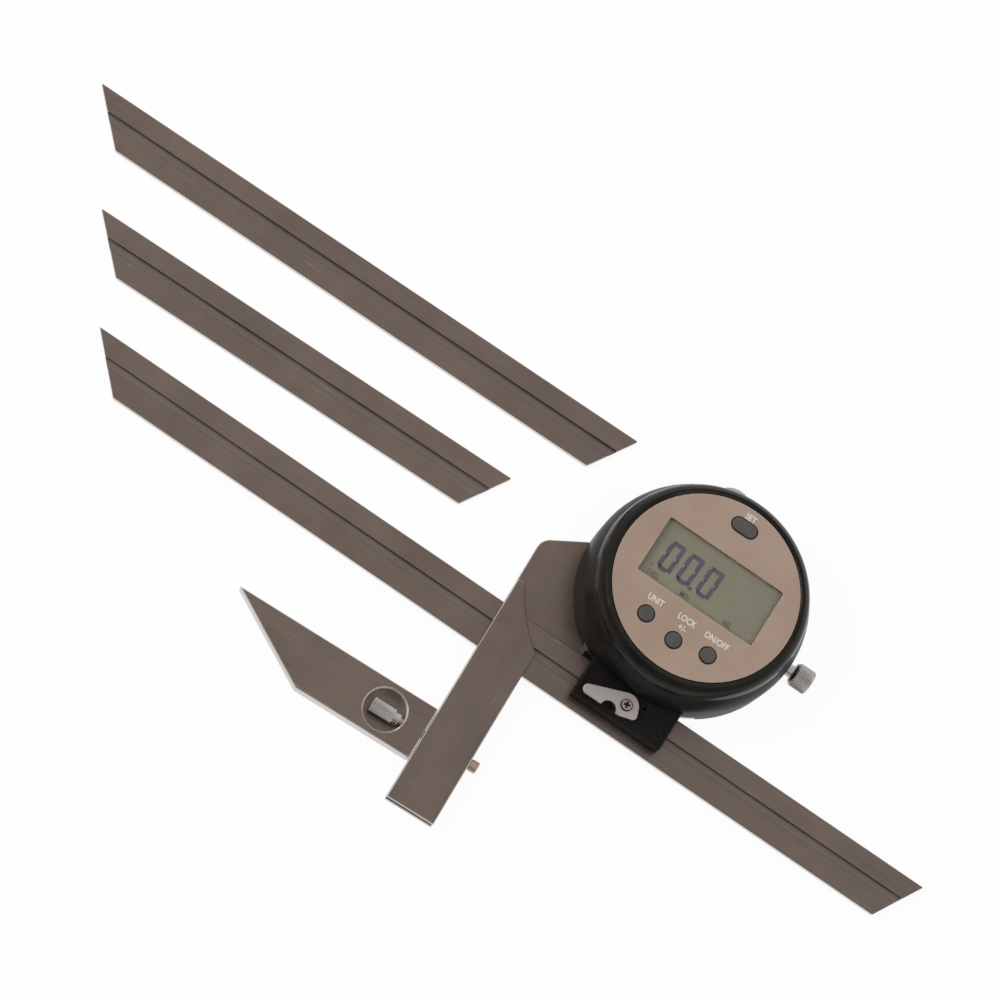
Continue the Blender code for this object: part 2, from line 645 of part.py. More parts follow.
def add_pivot(plate):
    """Hub, gear, scale and nut, all fixed to the stock inside the head."""
    low = PLATE_THICK + GAP
    profile = [(0.0, low), (HUB_RADIUS, low), (HUB_RADIUS, HUB_SHOULDER),
               (HUB_NECK, HUB_SHOULDER), (HUB_NECK, HUB_TOP), (0.0, HUB_TOP)]
    hub = turned("pivot_hub", profile, BRIGHT, steps=36)
    for number in range(1, HUB_SCREW_COUNT + 1):
        turn = 2 * pi * number / HUB_SCREW_COUNT
        place = (HUB_SCREW_CIRCLE * cos(turn), HUB_SCREW_CIRCLE * sin(turn))
        tail = "_%d" % number
        hole = STOCK_SCREW_RADIUS + RUN_GAP
        top = RUN_GAP + HUB_SCREW_LENGTH
        countersunk("hub_screw" + tail, place, STOCK_SCREW_HEAD, STOCK_SCREW_RADIUS,
                    STOCK_SCREW_COUNTERSINK, RUN_GAP, top, BRIGHT)
        cut(plate, sink("hub_hole_plate" + tail, place, STOCK_SCREW_HEAD + RUN_GAP, hole,
                        STOCK_SCREW_COUNTERSINK + RUN_GAP))
        cut(hub, drum("hub_hole" + tail, place, hole, low - OVERRUN, top + GAP, steps=20))
    gear_stations = [(GEAR_RADIUS, TOOTH_DEPTH, GEAR_LOW), (GEAR_RADIUS, TOOTH_DEPTH, GEAR_TOP)]
    bore = HUB_NECK + RUN_GAP
    fluted("gear_disc", gear_stations, GEAR_TEETH, BRASS, bore)
    bored_drum("scale_disc", SCALE_OUTER, SCALE_INNER, SCALE_LOW, SCALE_LOW + SCALE_THICK, BOARD_GREEN)
    nut_low = GEAR_TOP + GAP
    nut = prism("hub_nut", circle(HUB_NUT_FLATS / sqrt(3), 6), nut_low, nut_low + HUB_NUT_THICK, BRIGHT)
    cut(nut, drum("nut_bore", (0.0, 0.0), bore, nut_low - OVERRUN, nut_low + 2 * OVERRUN, steps=36))


# Blades

def add_blade(name, length, place, turn, low, parent=None):
    """Long edge on top, 45 degrees at the left end and 60 at the right, one groove."""
    left = BLADE_WIDTH / tan(BLADE_LEFT_ANGLE)
    right = length - BLADE_WIDTH / tan(BLADE_RIGHT_ANGLE)
    outline = [(0.0, 0.0), (left, -BLADE_WIDTH), (right, -BLADE_WIDTH), (length, 0.0)]
    blade = prism(name, outline, low, low + BLADE_THICK, STEEL)
    chamfer(blade, BLADE_CHAMFER)
    middle = (length / 2, -GROOVE_INSET - GROOVE_WIDTH / 2)
    top = low + BLADE_THICK
    cut(blade, block(name + "_groove", middle, length + OVERRUN, GROOVE_WIDTH,
                     top - GROOVE_DEPTH, top + OVERRUN))
    blade.location = (place[0], place[1], 0.0)
    blade.rotation_euler = (0.0, 0.0, turn)
    blade.parent = parent
    return blade


# Turret, case and bezel

def add_turret(head):
    """A disc that turns on the plate, with a seat that passes under the blade."""
    turret = bored_drum("turret_base", TURRET_RADIUS, BUSH_RADIUS + RUN_GAP, TURRET_LOW,
                        TURRET_TOP, BRIGHT, steps=CASE_STEPS)
    ears = drum("turret_ears", (0.0, 0.0), TURRET_EAR_RADIUS, TURRET_LOW, TURRET_TOP, steps=CASE_STEPS)
    inner = PLATE_DISC + GAP
    depth = TURRET_EAR_RADIUS - inner * cos(asin(TURRET_EAR_WIDTH / 2 / inner))
    middle = -TURRET_EAR_RADIUS + depth / 2
    keep = block("ear_limit", (0.0, middle), TURRET_EAR_WIDTH, depth,
                 TURRET_LOW - OVERRUN, TURRET_TOP + OVERRUN)
    combine(ears, keep, "INTERSECT")
    fuse(turret, ears)
    flat = block("blade_flat", (0.0, -BLADE_FLAT - TURRET_RADIUS / 2), 2 * CASE_RADIUS, TURRET_RADIUS,
                 TURRET_LOW - OVERRUN, TURRET_TOP + OVERRUN)
    cut(turret, flat)
    seat_back = inner * cos(asin(SEAT_WIDTH / 2 / inner))
    seat = block("seat_form", (0.0, (-SEAT_REACH - seat_back) / 2), SEAT_WIDTH,
                 SEAT_REACH - seat_back, SEAT_STAND, SEAT_STAND + SEAT_THICK)
    riser_depth = BLADE_FLAT - seat_back
    riser = block("riser_form", (0.0, -BLADE_FLAT + riser_depth / 2), SEAT_WIDTH, riser_depth,
                  SEAT_STAND, TURRET_TOP - GAP)
    fuse(turret, seat, riser)
    cut(turret, drum("plate_room", (0.0, 0.0), inner, SEAT_STAND - OVERRUN, TURRET_LOW, steps=CASE_STEPS))
    bush = bored_drum("pivot_bush", BUSH_RADIUS, HUB_RADIUS + RUN_GAP, TURRET_LOW + RUN_GAP,
                      TURRET_TOP + GAP, BRASS, steps=36)
    carry(head, turret, bush)
    return turret


def case_profile():
    """Outer wall, top rim, then the inner wall with its floor and ledge, round to the start."""
    inner = CASE_RADIUS - CASE_WALL
    top_inner = CASE_TOP_RADIUS - CASE_WALL
    ledge_top = TURRET_TOP + GAP + CASE_LEDGE_THICK
    rise = CASE_TOP - CASE_SHOULDER
    sweep = CASE_RADIUS - CASE_TOP_RADIUS
    shares = (0.0, 0.25, 0.5, 0.75, 1.0)
    outer = [(CASE_RADIUS - sweep * share ** CASE_CURVE, CASE_SHOULDER + rise * share) for share in shares]
    floor_top = CASE_FLOOR + CASE_FLOOR_THICK
    return ([(CASE_RADIUS, CASE_LOW)] + outer +
            [(top_inner, CASE_TOP), (inner - GAP, CASE_SHOULDER), (inner - GAP, floor_top),
             (CASE_FLOOR_BORE, floor_top), (CASE_FLOOR_BORE, CASE_FLOOR), (inner, CASE_FLOOR),
             (inner, ledge_top), (CASE_LEDGE_INNER, ledge_top),
             (CASE_LEDGE_INNER, TURRET_TOP + GAP), (inner, TURRET_TOP + GAP), (inner, CASE_LOW)])


def polar(radius, azimuth):
    return (radius * cos(azimuth), radius * sin(azimuth))


def add_case(head, turret):
    case = turned("case", case_profile(), BLACK_CASE, steps=CASE_STEPS, closed=True)
    floor_middle = CASE_FLOOR + CASE_FLOOR_THICK / 2
    boss_low = TURRET_TOP + GAP
    for number, azimuth in enumerate(CASE_SCREW_AZIMUTHS, 1):
        place = polar(CASE_SCREW_CIRCLE, azimuth)
        tail = "_%d" % number
        fuse(case, drum("case_boss" + tail, place, CASE_BOSS_RADIUS, boss_low, floor_middle, steps=16))
        head_low = TURRET_LOW + RUN_GAP
        head_high = head_low + CASE_SCREW_HEAD_THICK
        made = screw("case_screw" + tail, place, head_low, head_high + CASE_SCREW_LENGTH,
                     CASE_SCREW_RADIUS, CASE_SCREW_HEAD, head_low, head_high)
        carry(head, made)
        hole = CASE_SCREW_RADIUS + RUN_GAP
        top = head_high + CASE_SCREW_LENGTH + GAP
        cut(case, drum("case_screw_hole" + tail, place, hole, boss_low - OVERRUN, top, steps=16))
        cut(turret,
            drum("turret_screw_hole" + tail, place, hole,
                 TURRET_LOW - OVERRUN, TURRET_TOP + OVERRUN, steps=16),
            drum("turret_screw_seat" + tail, place, CASE_SCREW_HEAD + RUN_GAP,
                 TURRET_LOW - OVERRUN, head_high + RUN_GAP, steps=16))
    for number, azimuth in enumerate(BOARD_POST_AZIMUTHS, 1):
        place = polar(BOARD_POST_CIRCLE, azimuth)
        tail = "_%d" % number
        fuse(case, drum("board_post" + tail, place, BOARD_POST_RADIUS,
                        floor_middle, BOARD_LOW - GAP, steps=16))
        hole = BOARD_SCREW_RADIUS + RUN_GAP
        cut(case, drum("board_post_hole" + tail, place, hole,
                       BOARD_TOP - BOARD_SCREW_LENGTH - GAP, BOARD_TOP, steps=16))
    inner = CASE_RADIUS - CASE_WALL
    boss_middle = ((LOCK_BOSS_START + inner + CASE_WALL / 2) / 2, 0.0)
    boss = block("lock_boss", boss_middle, inner + CASE_WALL / 2 - LOCK_BOSS_START, LOCK_BOSS_WIDTH,
                 TURRET_TOP + GAP, LOCK_BOSS_TOP)
    fuse(case, boss)
    pin_hole = turned("brake_hole", [(0.0, 0.0), (BRAKE_RADIUS + RUN_GAP, 0.0),
                                     (BRAKE_RADIUS + RUN_GAP, CASE_RADIUS), (0.0, CASE_RADIUS)], steps=20)
    along_x(pin_hole, (LOCK_BOSS_START - OVERRUN, 0.0, LOCK_HEIGHT))
    shank_hole = turned("shank_hole", [(0.0, 0.0), (LOCK_SHANK_RADIUS + RUN_GAP, 0.0),
                                       (LOCK_SHANK_RADIUS + RUN_GAP, CASE_RADIUS),
                                       (0.0, CASE_RADIUS)], steps=20)
    along_x(shank_hole, (LOCK_SHANK_START - GAP, 0.0, LOCK_HEIGHT))
    cut(case, pin_hole, shank_hole)
    cut_case_openings(case)
    carry(head, case)


def cut_case_openings(case):
    """Room for the clamp block, the turret's ears and the fine wheel."""
    back = BLOCK_BACK - GAP
    cut(case, block("block_room", (0.0, -back - CASE_RADIUS / 2), BLOCK_WIDTH + 2 * GAP, CASE_RADIUS,
                    CASE_LOW - OVERRUN, BLOCK_TOP + GAP))
    inner = PLATE_DISC + GAP
    ear_back = inner * cos(asin(TURRET_EAR_WIDTH / 2 / inner)) - GAP
    cut(case, block("ear_room", (0.0, -ear_back - CASE_RADIUS / 2), TURRET_EAR_WIDTH + 2 * GAP, CASE_RADIUS,
                    CASE_LOW - OVERRUN, CASE_LOW + CASE_NOTCH_HEIGHT))
    centre = polar(WHEEL_CIRCLE, WHEEL_AZIMUTH)
    cut(case, drum("wheel_room", centre, WHEEL_RADIUS + WHEEL_SLOT_SIDE,
                   GEAR_LOW - GAP, WHEEL_TOP + GAP, steps=36),
        drum("wheel_pin_room", centre, WHEEL_PIN_RADIUS + RUN_GAP,
             CASE_LOW, WHEEL_PIN_TOP + RUN_GAP / 2, steps=20))


def bezel_profile():
    """The rounded outer side, the lip about the face, and the shelf and spigot inside."""
    low = CASE_TOP + GAP
    outer = CASE_TOP_RADIUS
    lip = FACE_RADIUS + GAP
    top = FACE_TOP + BEZEL_LIP
    rim = lip + BEZEL_RIM
    span = [i / (BEZEL_ARC_POINTS - 1) for i in range(BEZEL_ARC_POINTS)]
    side = [(outer + (rim - outer) * s + BEZEL_BULGE * sin(pi * s),
             low + (top - low) * s + BEZEL_BULGE * sin(pi * s)) for s in span]
    spigot = CASE_TOP_RADIUS - CASE_WALL - GAP
    shelf_low = FACE_LOW - GAP - BEZEL_SHELF_THICK
    return side + [(lip, FACE_TOP), (lip, FACE_LOW - GAP), (lip - BEZEL_SHELF, FACE_LOW - GAP),
                   (lip - BEZEL_SHELF, shelf_low), (spigot - BEZEL_SPIGOT_WALL, low),
                   (spigot - BEZEL_SPIGOT_WALL, low - BEZEL_SPIGOT), (spigot, low - BEZEL_SPIGOT),
                   (spigot, low)]


def button_holes():
    round_hole = BUTTON_RADIUS + BUTTON_CLEARANCE
    wide = PRESET_LENGTH + 2 * BUTTON_CLEARANCE
    high = PRESET_HEIGHT + 2 * BUTTON_CLEARANCE
    low = FACE_LOW - OVERRUN
    top = FACE_TOP + OVERRUN
    outline = [(PRESET_PLACE[0] + x, PRESET_PLACE[1] + y) for x, y in pill(wide, high)]
    yield prism("preset_hole", outline, low, top)
    for name, place in (("mode", MODE_PLACE), ("hold", HOLD_PLACE), ("zero", ZERO_PLACE)):
        yield drum(name + "_hole", place, round_hole, low, top)


def add_front(head):
    """Bezel, face plate, window and display."""
    bezel = turned("bezel", bezel_profile(), BLACK_CASE, steps=CASE_STEPS, closed=True)
    face = drum("face_plate", (0.0, 0.0), FACE_RADIUS, FACE_LOW, FACE_TOP, CHAMPAGNE, steps=CASE_STEPS)
    middle = (0.0, DISPLAY_RISE)
    cut(face, prism("display_hole", rounded(DISPLAY_WIDTH, DISPLAY_HEIGHT, DISPLAY_CORNER, middle),
                    FACE_LOW - OVERRUN, FACE_TOP + OVERRUN), *button_holes())
    window = prism("display_window",
                   rounded(DISPLAY_WIDTH + 2 * WINDOW_MARGIN, DISPLAY_HEIGHT + 2 * WINDOW_MARGIN,
                           DISPLAY_CORNER, middle), WINDOW_TOP - WINDOW_THICK, WINDOW_TOP, CLEAR)
    wide = DISPLAY_WIDTH + 2 * MODULE_MARGIN
    high = DISPLAY_HEIGHT + 2 * MODULE_MARGIN
    module = prism("display_module", rounded(wide, high, DISPLAY_CORNER, middle),
                   MODULE_LOW, MODULE_TOP, DISPLAY_GREY)
    holder = prism("display_holder", rounded(wide, high, DISPLAY_CORNER, middle),
                   MAT_LOW, MODULE_LOW - GAP, BLACK_CASE)
    cut(holder, block("holder_opening", middle, wide - 2 * HOLDER_WALL, high - 2 * HOLDER_WALL,
                      MAT_LOW - OVERRUN, MODULE_LOW + OVERRUN))
    carry(head, bezel, face, window, module, holder)


def add_button(head, name, place, outline, flange_outline):
    """A cap through the face, with a flange below it and a stem down to the mat."""
    cap = prism(name, outline, FLANGE_TOP - BUTTON_FLANGE_THICK / 2, BUTTON_TOP, BUTTON_GREY)
    chamfer(cap, BUTTON_CHAMFER)
    flange = prism(name + "_flange", flange_outline, FLANGE_TOP - BUTTON_FLANGE_THICK, FLANGE_TOP)
    stem = drum(name + "_stem", (0.0, 0.0), MAT_DOME_RADIUS - RUN_GAP, BUTTON_LOW,
                FLANGE_TOP - BUTTON_FLANGE_THICK / 2, steps=16)
    fuse(cap, flange, stem)
    cap.location = (place[0], place[1], 0.0)
    carry(head, cap)


def add_buttons(head):
    flange = BUTTON_RADIUS + BUTTON_FLANGE
    for name, place in (("mode", MODE_PLACE), ("hold", HOLD_PLACE), ("zero", ZERO_PLACE)):
        add_button(head, name + "_button", place, circle(BUTTON_RADIUS, 24), circle(flange, 24))
    add_button(head, "preset_button", PRESET_PLACE, pill(PRESET_LENGTH, PRESET_HEIGHT),
               pill(PRESET_LENGTH + 2 * BUTTON_FLANGE, PRESET_HEIGHT + 2 * BUTTON_FLANGE))


def add_button_mat(head):
    """A rubber sheet round the display, with a dome under each button."""
    mat = drum("button_mat", (0.0, 0.0), MAT_RADIUS, MAT_LOW, MAT_LOW + MAT_THICK, RUBBER, steps=48)
    wide = DISPLAY_WIDTH + 2 * MODULE_MARGIN + 2 * GAP
    high = DISPLAY_HEIGHT + 2 * MODULE_MARGIN + 2 * GAP
    cut(mat, block("mat_opening", (0.0, DISPLAY_RISE), wide, high, MAT_LOW - OVERRUN, MAT_LOW + OVERRUN))
    for name, place in (("preset", PRESET_PLACE), ("mode", MODE_PLACE),
                        ("hold", HOLD_PLACE), ("zero", ZERO_PLACE)):
        fuse(mat, drum(name + "_dome", place, MAT_DOME_RADIUS, MAT_LOW + MAT_THICK / 2, DOME_TOP, steps=16))
    for number, azimuth in enumerate(BOARD_POST_AZIMUTHS, 1):
        cut(mat, drum("mat_room_%d" % number, polar(BOARD_POST_CIRCLE, azimuth), BOARD_SCREW_HEAD + RUN_GAP,
                      MAT_LOW - OVERRUN, MAT_LOW + OVERRUN, steps=16))
    carry(head, mat)


def add_electronics(head):
    """Main board on its posts, cell and clip below it, reader board under the floor."""
    board = drum("circuit_board", (0.0, 0.0), BOARD_RADIUS, BOARD_LOW, BOARD_TOP, BOARD_GREEN, steps=60)
    for number, azimuth in enumerate(BOARD_POST_AZIMUTHS, 1):
        place = polar(BOARD_POST_CIRCLE, azimuth)
        tail = "_%d" % number
        head_low = BOARD_TOP + RUN_GAP
        made = screw("board_screw" + tail, place, BOARD_TOP - BOARD_SCREW_LENGTH, head_low,
                     BOARD_SCREW_RADIUS, BOARD_SCREW_HEAD, head_low, head_low + BOARD_SCREW_HEAD_THICK)
        cut(board, drum("board_hole" + tail, place, BOARD_SCREW_RADIUS + RUN_GAP,
                        BOARD_LOW - OVERRUN, BOARD_TOP + OVERRUN, steps=16))
        carry(head, made)
    reader = bored_drum("reader_board", READER_OUTER, READER_INNER, READER_TOP - READER_THICK,
                        READER_TOP, BOARD_GREEN)
    cell = drum("coin_cell", (0.0, 0.0), CELL_RADIUS, CELL_TOP - CELL_THICK, CELL_TOP, BRIGHT, steps=36)
    strap_low = CELL_TOP - CELL_THICK - GAP - CLIP_THICK
    reach = 2 * (CELL_RADIUS + GAP + CLIP_THICK)
    clip = block("cell_clip", (0.0, 0.0), reach, CLIP_WIDTH, strap_low, BOARD_LOW - RUN_GAP, BRIGHT)
    cut(clip, block("clip_hollow", (0.0, 0.0), reach - 2 * CLIP_THICK, CLIP_WIDTH + OVERRUN,
                    strap_low + CLIP_THICK, BOARD_LOW + OVERRUN))
    carry(head, board, reader, cell, clip)


# Clamp block

def add_block(head, turret):
    """The black block over the blade, its hidden screws, guide keys and their screws."""
    depth = BLOCK_LOW_EDGE - BLOCK_BACK
    body = block("clamp_block", (0.0, -BLOCK_LOW_EDGE + depth / 2), BLOCK_WIDTH, depth,
                 BLOCK_LOW, BLOCK_TOP, BLACK_STEEL)
    chamfer(body, BLOCK_CHAMFER)
    for number, side in enumerate((-1, 1), 1):
        tail = "_%d" % number
        add_guide_key(head, body, side * BLOCK_SCREW_SPACING / 2, tail)
        place = (side * BLOCK_HOLD_SPACING / 2, -BLOCK_HOLD_BACK)
        head_low = SEAT_STAND + RUN_GAP
        head_high = head_low + BLOCK_HOLD_HEAD_THICK
        made = screw("block_base_screw" + tail, place, head_low, head_high + BLOCK_HOLD_LENGTH,
                     BLOCK_HOLD_RADIUS, BLOCK_HOLD_HEAD, head_low, head_high)
        hole = BLOCK_HOLD_RADIUS + RUN_GAP
        top = head_high + BLOCK_HOLD_LENGTH + GAP
        cut(turret,
            drum("hold_hole" + tail, place, hole, SEAT_STAND - OVERRUN, TURRET_TOP + OVERRUN, steps=16),
            drum("hold_seat" + tail, place, BLOCK_HOLD_HEAD + RUN_GAP,
                 SEAT_STAND - OVERRUN, head_high + RUN_GAP, steps=16))
        cut(body, drum("hold_thread" + tail, place, hole, BLOCK_LOW - OVERRUN, top, steps=16))
        carry(head, made)
    room = KEY_LENGTH + 2 * GAP
    key_top = GROOVE_FLOOR + KEY_CLEARANCE + KEY_HEIGHT + KEY_LIFT
    key_width = GROOVE_WIDTH - 2 * KEY_CLEARANCE
    cut(body, block("key_room", (0.0, -GROOVE_MIDDLE), room, key_width + 2 * GAP,
                    BLOCK_LOW - OVERRUN, key_top + GAP),
        drum("key_pin_hole", (-KEY_PIN_OFFSET, -GROOVE_MIDDLE), KEY_PIN_RADIUS + RUN_GAP,
             BLOCK_LOW, BLOCK_TOP + OVERRUN, steps=16),
        drum("lever_screw_hole", (0.0, -LEVER_DROP), LEVER_BORE - RUN_GAP / 2,
             BLOCK_TOP - LEVER_SCREW_DEPTH - GAP, BLOCK_TOP + OVERRUN, steps=20),
        drum("pin_hole", (PIN_HOLE_OFFSET[0], PIN_HOLE_OFFSET[1] - LEVER_DROP), PIN_HOLE_RADIUS,
             BLOCK_TOP - PIN_HOLE_DEPTH, BLOCK_TOP + OVERRUN, steps=12),
        drum("socket", (SOCKET_OFFSET[0], SOCKET_OFFSET[1] - LEVER_DROP), SOCKET_RADIUS,
             BLOCK_TOP - SOCKET_DEPTH, BLOCK_TOP + OVERRUN, steps=16))
    carry(head, body)


def add_guide_key(head, body, x, tail):
    """A small key that runs in the blade's groove, and the screw that holds it."""
    low = GROOVE_FLOOR + KEY_CLEARANCE
    top = low + KEY_HEIGHT
    width = GROOVE_WIDTH - 2 * KEY_CLEARANCE
    place = (x, -GROOVE_MIDDLE)
    key = block("guide_key" + tail, place, GUIDE_LENGTH, width, low, top, BRIGHT)
    hole = BLOCK_SCREW_RADIUS + RUN_GAP
    cut(key, drum("guide_hole" + tail, place, hole, low - OVERRUN, top + OVERRUN, steps=16))
    head_high = BLOCK_TOP - BLOCK_SCREW_RECESS
    head_low = head_high - BLOCK_SCREW_HEAD_THICK
    made = screw("block_screw" + tail, place, low + RUN_GAP, head_high, BLOCK_SCREW_RADIUS,
                 BLOCK_SCREW_HEAD, head_low, head_high, BLACK_STEEL)
    cut(body, block("guide_room" + tail, place, GUIDE_LENGTH + 2 * GAP, width + 2 * GAP,
                    BLOCK_LOW - OVERRUN, top + GAP),
        drum("block_screw_hole" + tail, place, hole, BLOCK_LOW, BLOCK_TOP + OVERRUN, steps=16),
        drum("block_screw_seat" + tail, place, BLOCK_SCREW_HEAD + RUN_GAP, head_low - RUN_GAP,
             BLOCK_TOP + OVERRUN, steps=16))
    carry(head, key, made)


def tangent(first, first_radius, second, second_radius):
    """The two points where a line touches both circles on their left, going first to second."""
    dx = second[0] - first[0]
    dy = second[1] - first[1]
    turn = atan2(dy, dx) + pi / 2 + asin((second_radius - first_radius) / hypot(dx, dy))
    return ((first[0] + first_radius * cos(turn), first[1] + first_radius * sin(turn)),
            (second[0] + second_radius * cos(turn), second[1] + second_radius * sin(turn)), turn)


def lever_outline():
    """Lines that touch the tip, the hub, the corner and the heel, taken clockwise."""
    stops = [(LEVER_TIP_PLACE, LEVER_TIP_RADIUS), ((0.0, 0.0), LEVER_HUB),
             (LEVER_CORNER_PLACE, LEVER_CORNER_RADIUS), (LEVER_HEEL_PLACE, LEVER_HEEL_RADIUS)]
    count = len(stops)
    touches = [tangent(*stops[i], *stops[(i + 1) % count])[2] for i in range(count)]
    outline = []
    for i, (centre, radius) in enumerate(stops):
        start = touches[i - 1]
        end = touches[i]
        while end > start:
            end -= 2 * pi
        outline += arc(centre, radius, start, end, LEVER_STEPS)
    return outline


def add_lever(head):
    lever = prism("clamp_lever", lever_outline(), LEVER_LOW, LEVER_TOP, BRIGHT)
    chamfer(lever, LEVER_CHAMFER)
    cut(lever,
        drum("lever_notch", NOTCH_PLACE, NOTCH_RADIUS, LEVER_LOW - OVERRUN, LEVER_TOP + OVERRUN, steps=32),
        drum("lever_bore", (0.0, 0.0), LEVER_BORE, LEVER_LOW - OVERRUN, LEVER_TOP + OVERRUN, steps=24))
    lever.location = (0.0, -LEVER_DROP, 0.0)
    head_low = LEVER_TOP + RUN_GAP
    made = screw("lever_screw", (0.0, -LEVER_DROP), BLOCK_TOP - LEVER_SCREW_DEPTH, head_low,
                 LEVER_BORE - RUN_GAP, LEVER_SCREW_HEAD, head_low, head_low + LEVER_SCREW_HEAD_THICK)
    low = GROOVE_FLOOR + KEY_CLEARANCE
    width = GROOVE_WIDTH - 2 * KEY_CLEARANCE
    key = block("clamp_key", (0.0, 0.0), KEY_LENGTH, width, low, low + KEY_HEIGHT, BRIGHT)
    fuse(key, drum("key_pin", (-KEY_PIN_OFFSET, 0.0), KEY_PIN_RADIUS, low + KEY_HEIGHT / 2,
                   LEVER_LOW - KEY_LIFT - GAP, steps=16))
    key.location = (0.0, -GROOVE_MIDDLE, 0.0)
    carry(head, lever, made, key)


# Lock knob, brake pin and fine wheel

def add_lock(head):
    """A knurled knob whose screw pushes a pin against the gear's rim."""
    start = LOCK_KNOB_START - LOCK_SHANK_START
    end = start + LOCK_KNOB_LENGTH
    grip = start + LOCK_KNOB_UNDERCUT
    waist = LOCK_KNOB_RADIUS - LOCK_KNOB_ROUND
    stations = [(LOCK_SHANK_RADIUS, 0.0, 0.0), (LOCK_SHANK_RADIUS, 0.0, start), (waist, 0.0, start),
                (LOCK_KNOB_RADIUS, KNURL_DEPTH, grip), (LOCK_KNOB_RADIUS, KNURL_DEPTH, end - LOCK_KNOB_ROUND),
                (waist, 0.0, end)]
    knob = fluted("lock_knob", stations, KNURL_TEETH, BRIGHT)
    along_x(knob, (LOCK_SHANK_START, 0.0, LOCK_HEIGHT))
    pin_start = GEAR_RADIUS + BRAKE_STROKE + RUN_GAP
    length = LOCK_SHANK_START - GAP - pin_start
    pin = turned("brake_pin", [(0.0, 0.0), (BRAKE_RADIUS, 0.0), (BRAKE_RADIUS, length), (0.0, length)],
                 BRASS, steps=20)
    along_x(pin, (pin_start, 0.0, LOCK_HEIGHT))
    carry(head, knob, pin)


def add_fine_wheel(head):
    """A knurled wheel and pinion on a pin, driven by the gear's teeth as the head turns."""
    centre = polar(WHEEL_CIRCLE, WHEEL_AZIMUTH)
    pinion = WHEEL_CIRCLE - GEAR_RADIUS - RUN_GAP
    stations = [(pinion, 0.0, GEAR_LOW), (pinion, 0.0, WHEEL_LOW), (WHEEL_RADIUS, KNURL_DEPTH, WHEEL_LOW),
                (WHEEL_RADIUS, KNURL_DEPTH, WHEEL_TOP)]
    wheel = fluted("fine_wheel", stations, WHEEL_TEETH, BRIGHT, WHEEL_PIN_RADIUS + RUN_GAP)
    wheel.location = (centre[0], centre[1], 0.0)
    pin = drum("wheel_pin", (0.0, 0.0), WHEEL_PIN_RADIUS, TURRET_TOP + GAP, WHEEL_PIN_TOP, BRIGHT, steps=20)
    pin.location = (centre[0], centre[1], 0.0)
    carry(head, wheel, pin)


# Acute-angle attachment

def add_attachment():
    """A plate with a 30 degree tip, its thumb nut in a round pocket and its clamp rod."""
    top = -ATTACHMENT_DROP
    low = top - ATTACHMENT_WIDTH
    end = -STOCK_EDGE - GAP
    tip = end - ATTACHMENT_LENGTH
    heel = tip + ATTACHMENT_WIDTH / tan(ATTACHMENT_ANGLE)
    plate = prism("attachment_plate", [(tip, top), (heel, low), (end, low), (end, top)],
                  0.0, ATTACHMENT_THICK, STEEL)
    chamfer(plate, ATTACHMENT_CHAMFER)
    centre = (end - POCKET_DISTANCE, (top + low) / 2)
    pocket = turned("nut_pocket", [(0.0, POCKET_FLOOR), (POCKET_RADIUS, POCKET_FLOOR),
                                   (POCKET_RADIUS, ATTACHMENT_THICK - POCKET_CHAMFER),
                                   (POCKET_RADIUS + POCKET_CHAMFER + OVERRUN, ATTACHMENT_THICK + OVERRUN),
                                   (0.0, ATTACHMENT_THICK + OVERRUN)], steps=48)
    pocket.location = (centre[0], centre[1], 0.0)
    hole = turned("rod_hole", [(0.0, 0.0), (ROD_RADIUS + RUN_GAP, 0.0),
                               (ROD_RADIUS + RUN_GAP, POCKET_DISTANCE + OVERRUN),
                               (0.0, POCKET_DISTANCE + OVERRUN)], steps=20)
    along_x(hole, (centre[0], centre[1], ROD_LEVEL))
    cut(plate, pocket, hole)
    add_thumb_nut(centre)
    add_clamp_rod(centre)


def add_thumb_nut(centre):
    collar = THUMB_NUT_LENGTH + THUMB_COLLAR_LENGTH
    round_end = KNURL_DEPTH * 2
    stations = [(THUMB_NUT_RADIUS - round_end, 0.0, 0.0), (THUMB_NUT_RADIUS, KNURL_DEPTH, round_end),
                (THUMB_NUT_RADIUS, KNURL_DEPTH, THUMB_NUT_LENGTH),
                (THUMB_COLLAR_RADIUS, 0.0, THUMB_NUT_LENGTH),
                (THUMB_COLLAR_RADIUS, 0.0, collar)]
    nut = fluted("thumb_nut", stations, KNURL_TEETH // 2, BRIGHT)
    cut(nut, drum("nut_thread", (0.0, 0.0), ROD_RADIUS + RUN_GAP,
                  THUMB_BORE_WALL, collar + OVERRUN, steps=20))
    along_x(nut, (centre[0] - THUMB_NUT_START, centre[1], ROD_LEVEL))


def add_clamp_rod(centre):
    """Round in the attachment, flat through the stock's slot, with a round head outside."""
    start = centre[0] - THUMB_NUT_START + THUMB_BORE_WALL + GAP
    tongue = -STOCK_EDGE - GAP
    shoulder = STOCK_WIDTH - STOCK_EDGE + GAP
    shank = tongue - start
    rod = turned("clamp_rod", [(0.0, 0.0), (ROD_RADIUS, 0.0), (ROD_RADIUS, shank + RUN_GAP),
                              (0.0, shank + RUN_GAP)], BRIGHT, steps=20)
    flat = block("rod_tongue", (0.0, 0.0), ROD_TONGUE_THICK, ROD_TONGUE_WIDTH,
                 shank + RUN_GAP / 2, shoulder - start + GAP)
    head_end = shoulder - start + ROD_HEAD_LENGTH
    knob = turned("rod_head", [(0.0, shoulder - start), (ROD_HEAD_RADIUS, shoulder - start),
                               (ROD_HEAD_RADIUS, head_end - ROD_HEAD_CHAMFER),
                               (ROD_HEAD_RADIUS - ROD_HEAD_CHAMFER, head_end), (0.0, head_end)], steps=24)
    fuse(rod, flat, knob)
    along_x(rod, (start, centre[1], ROD_LEVEL))


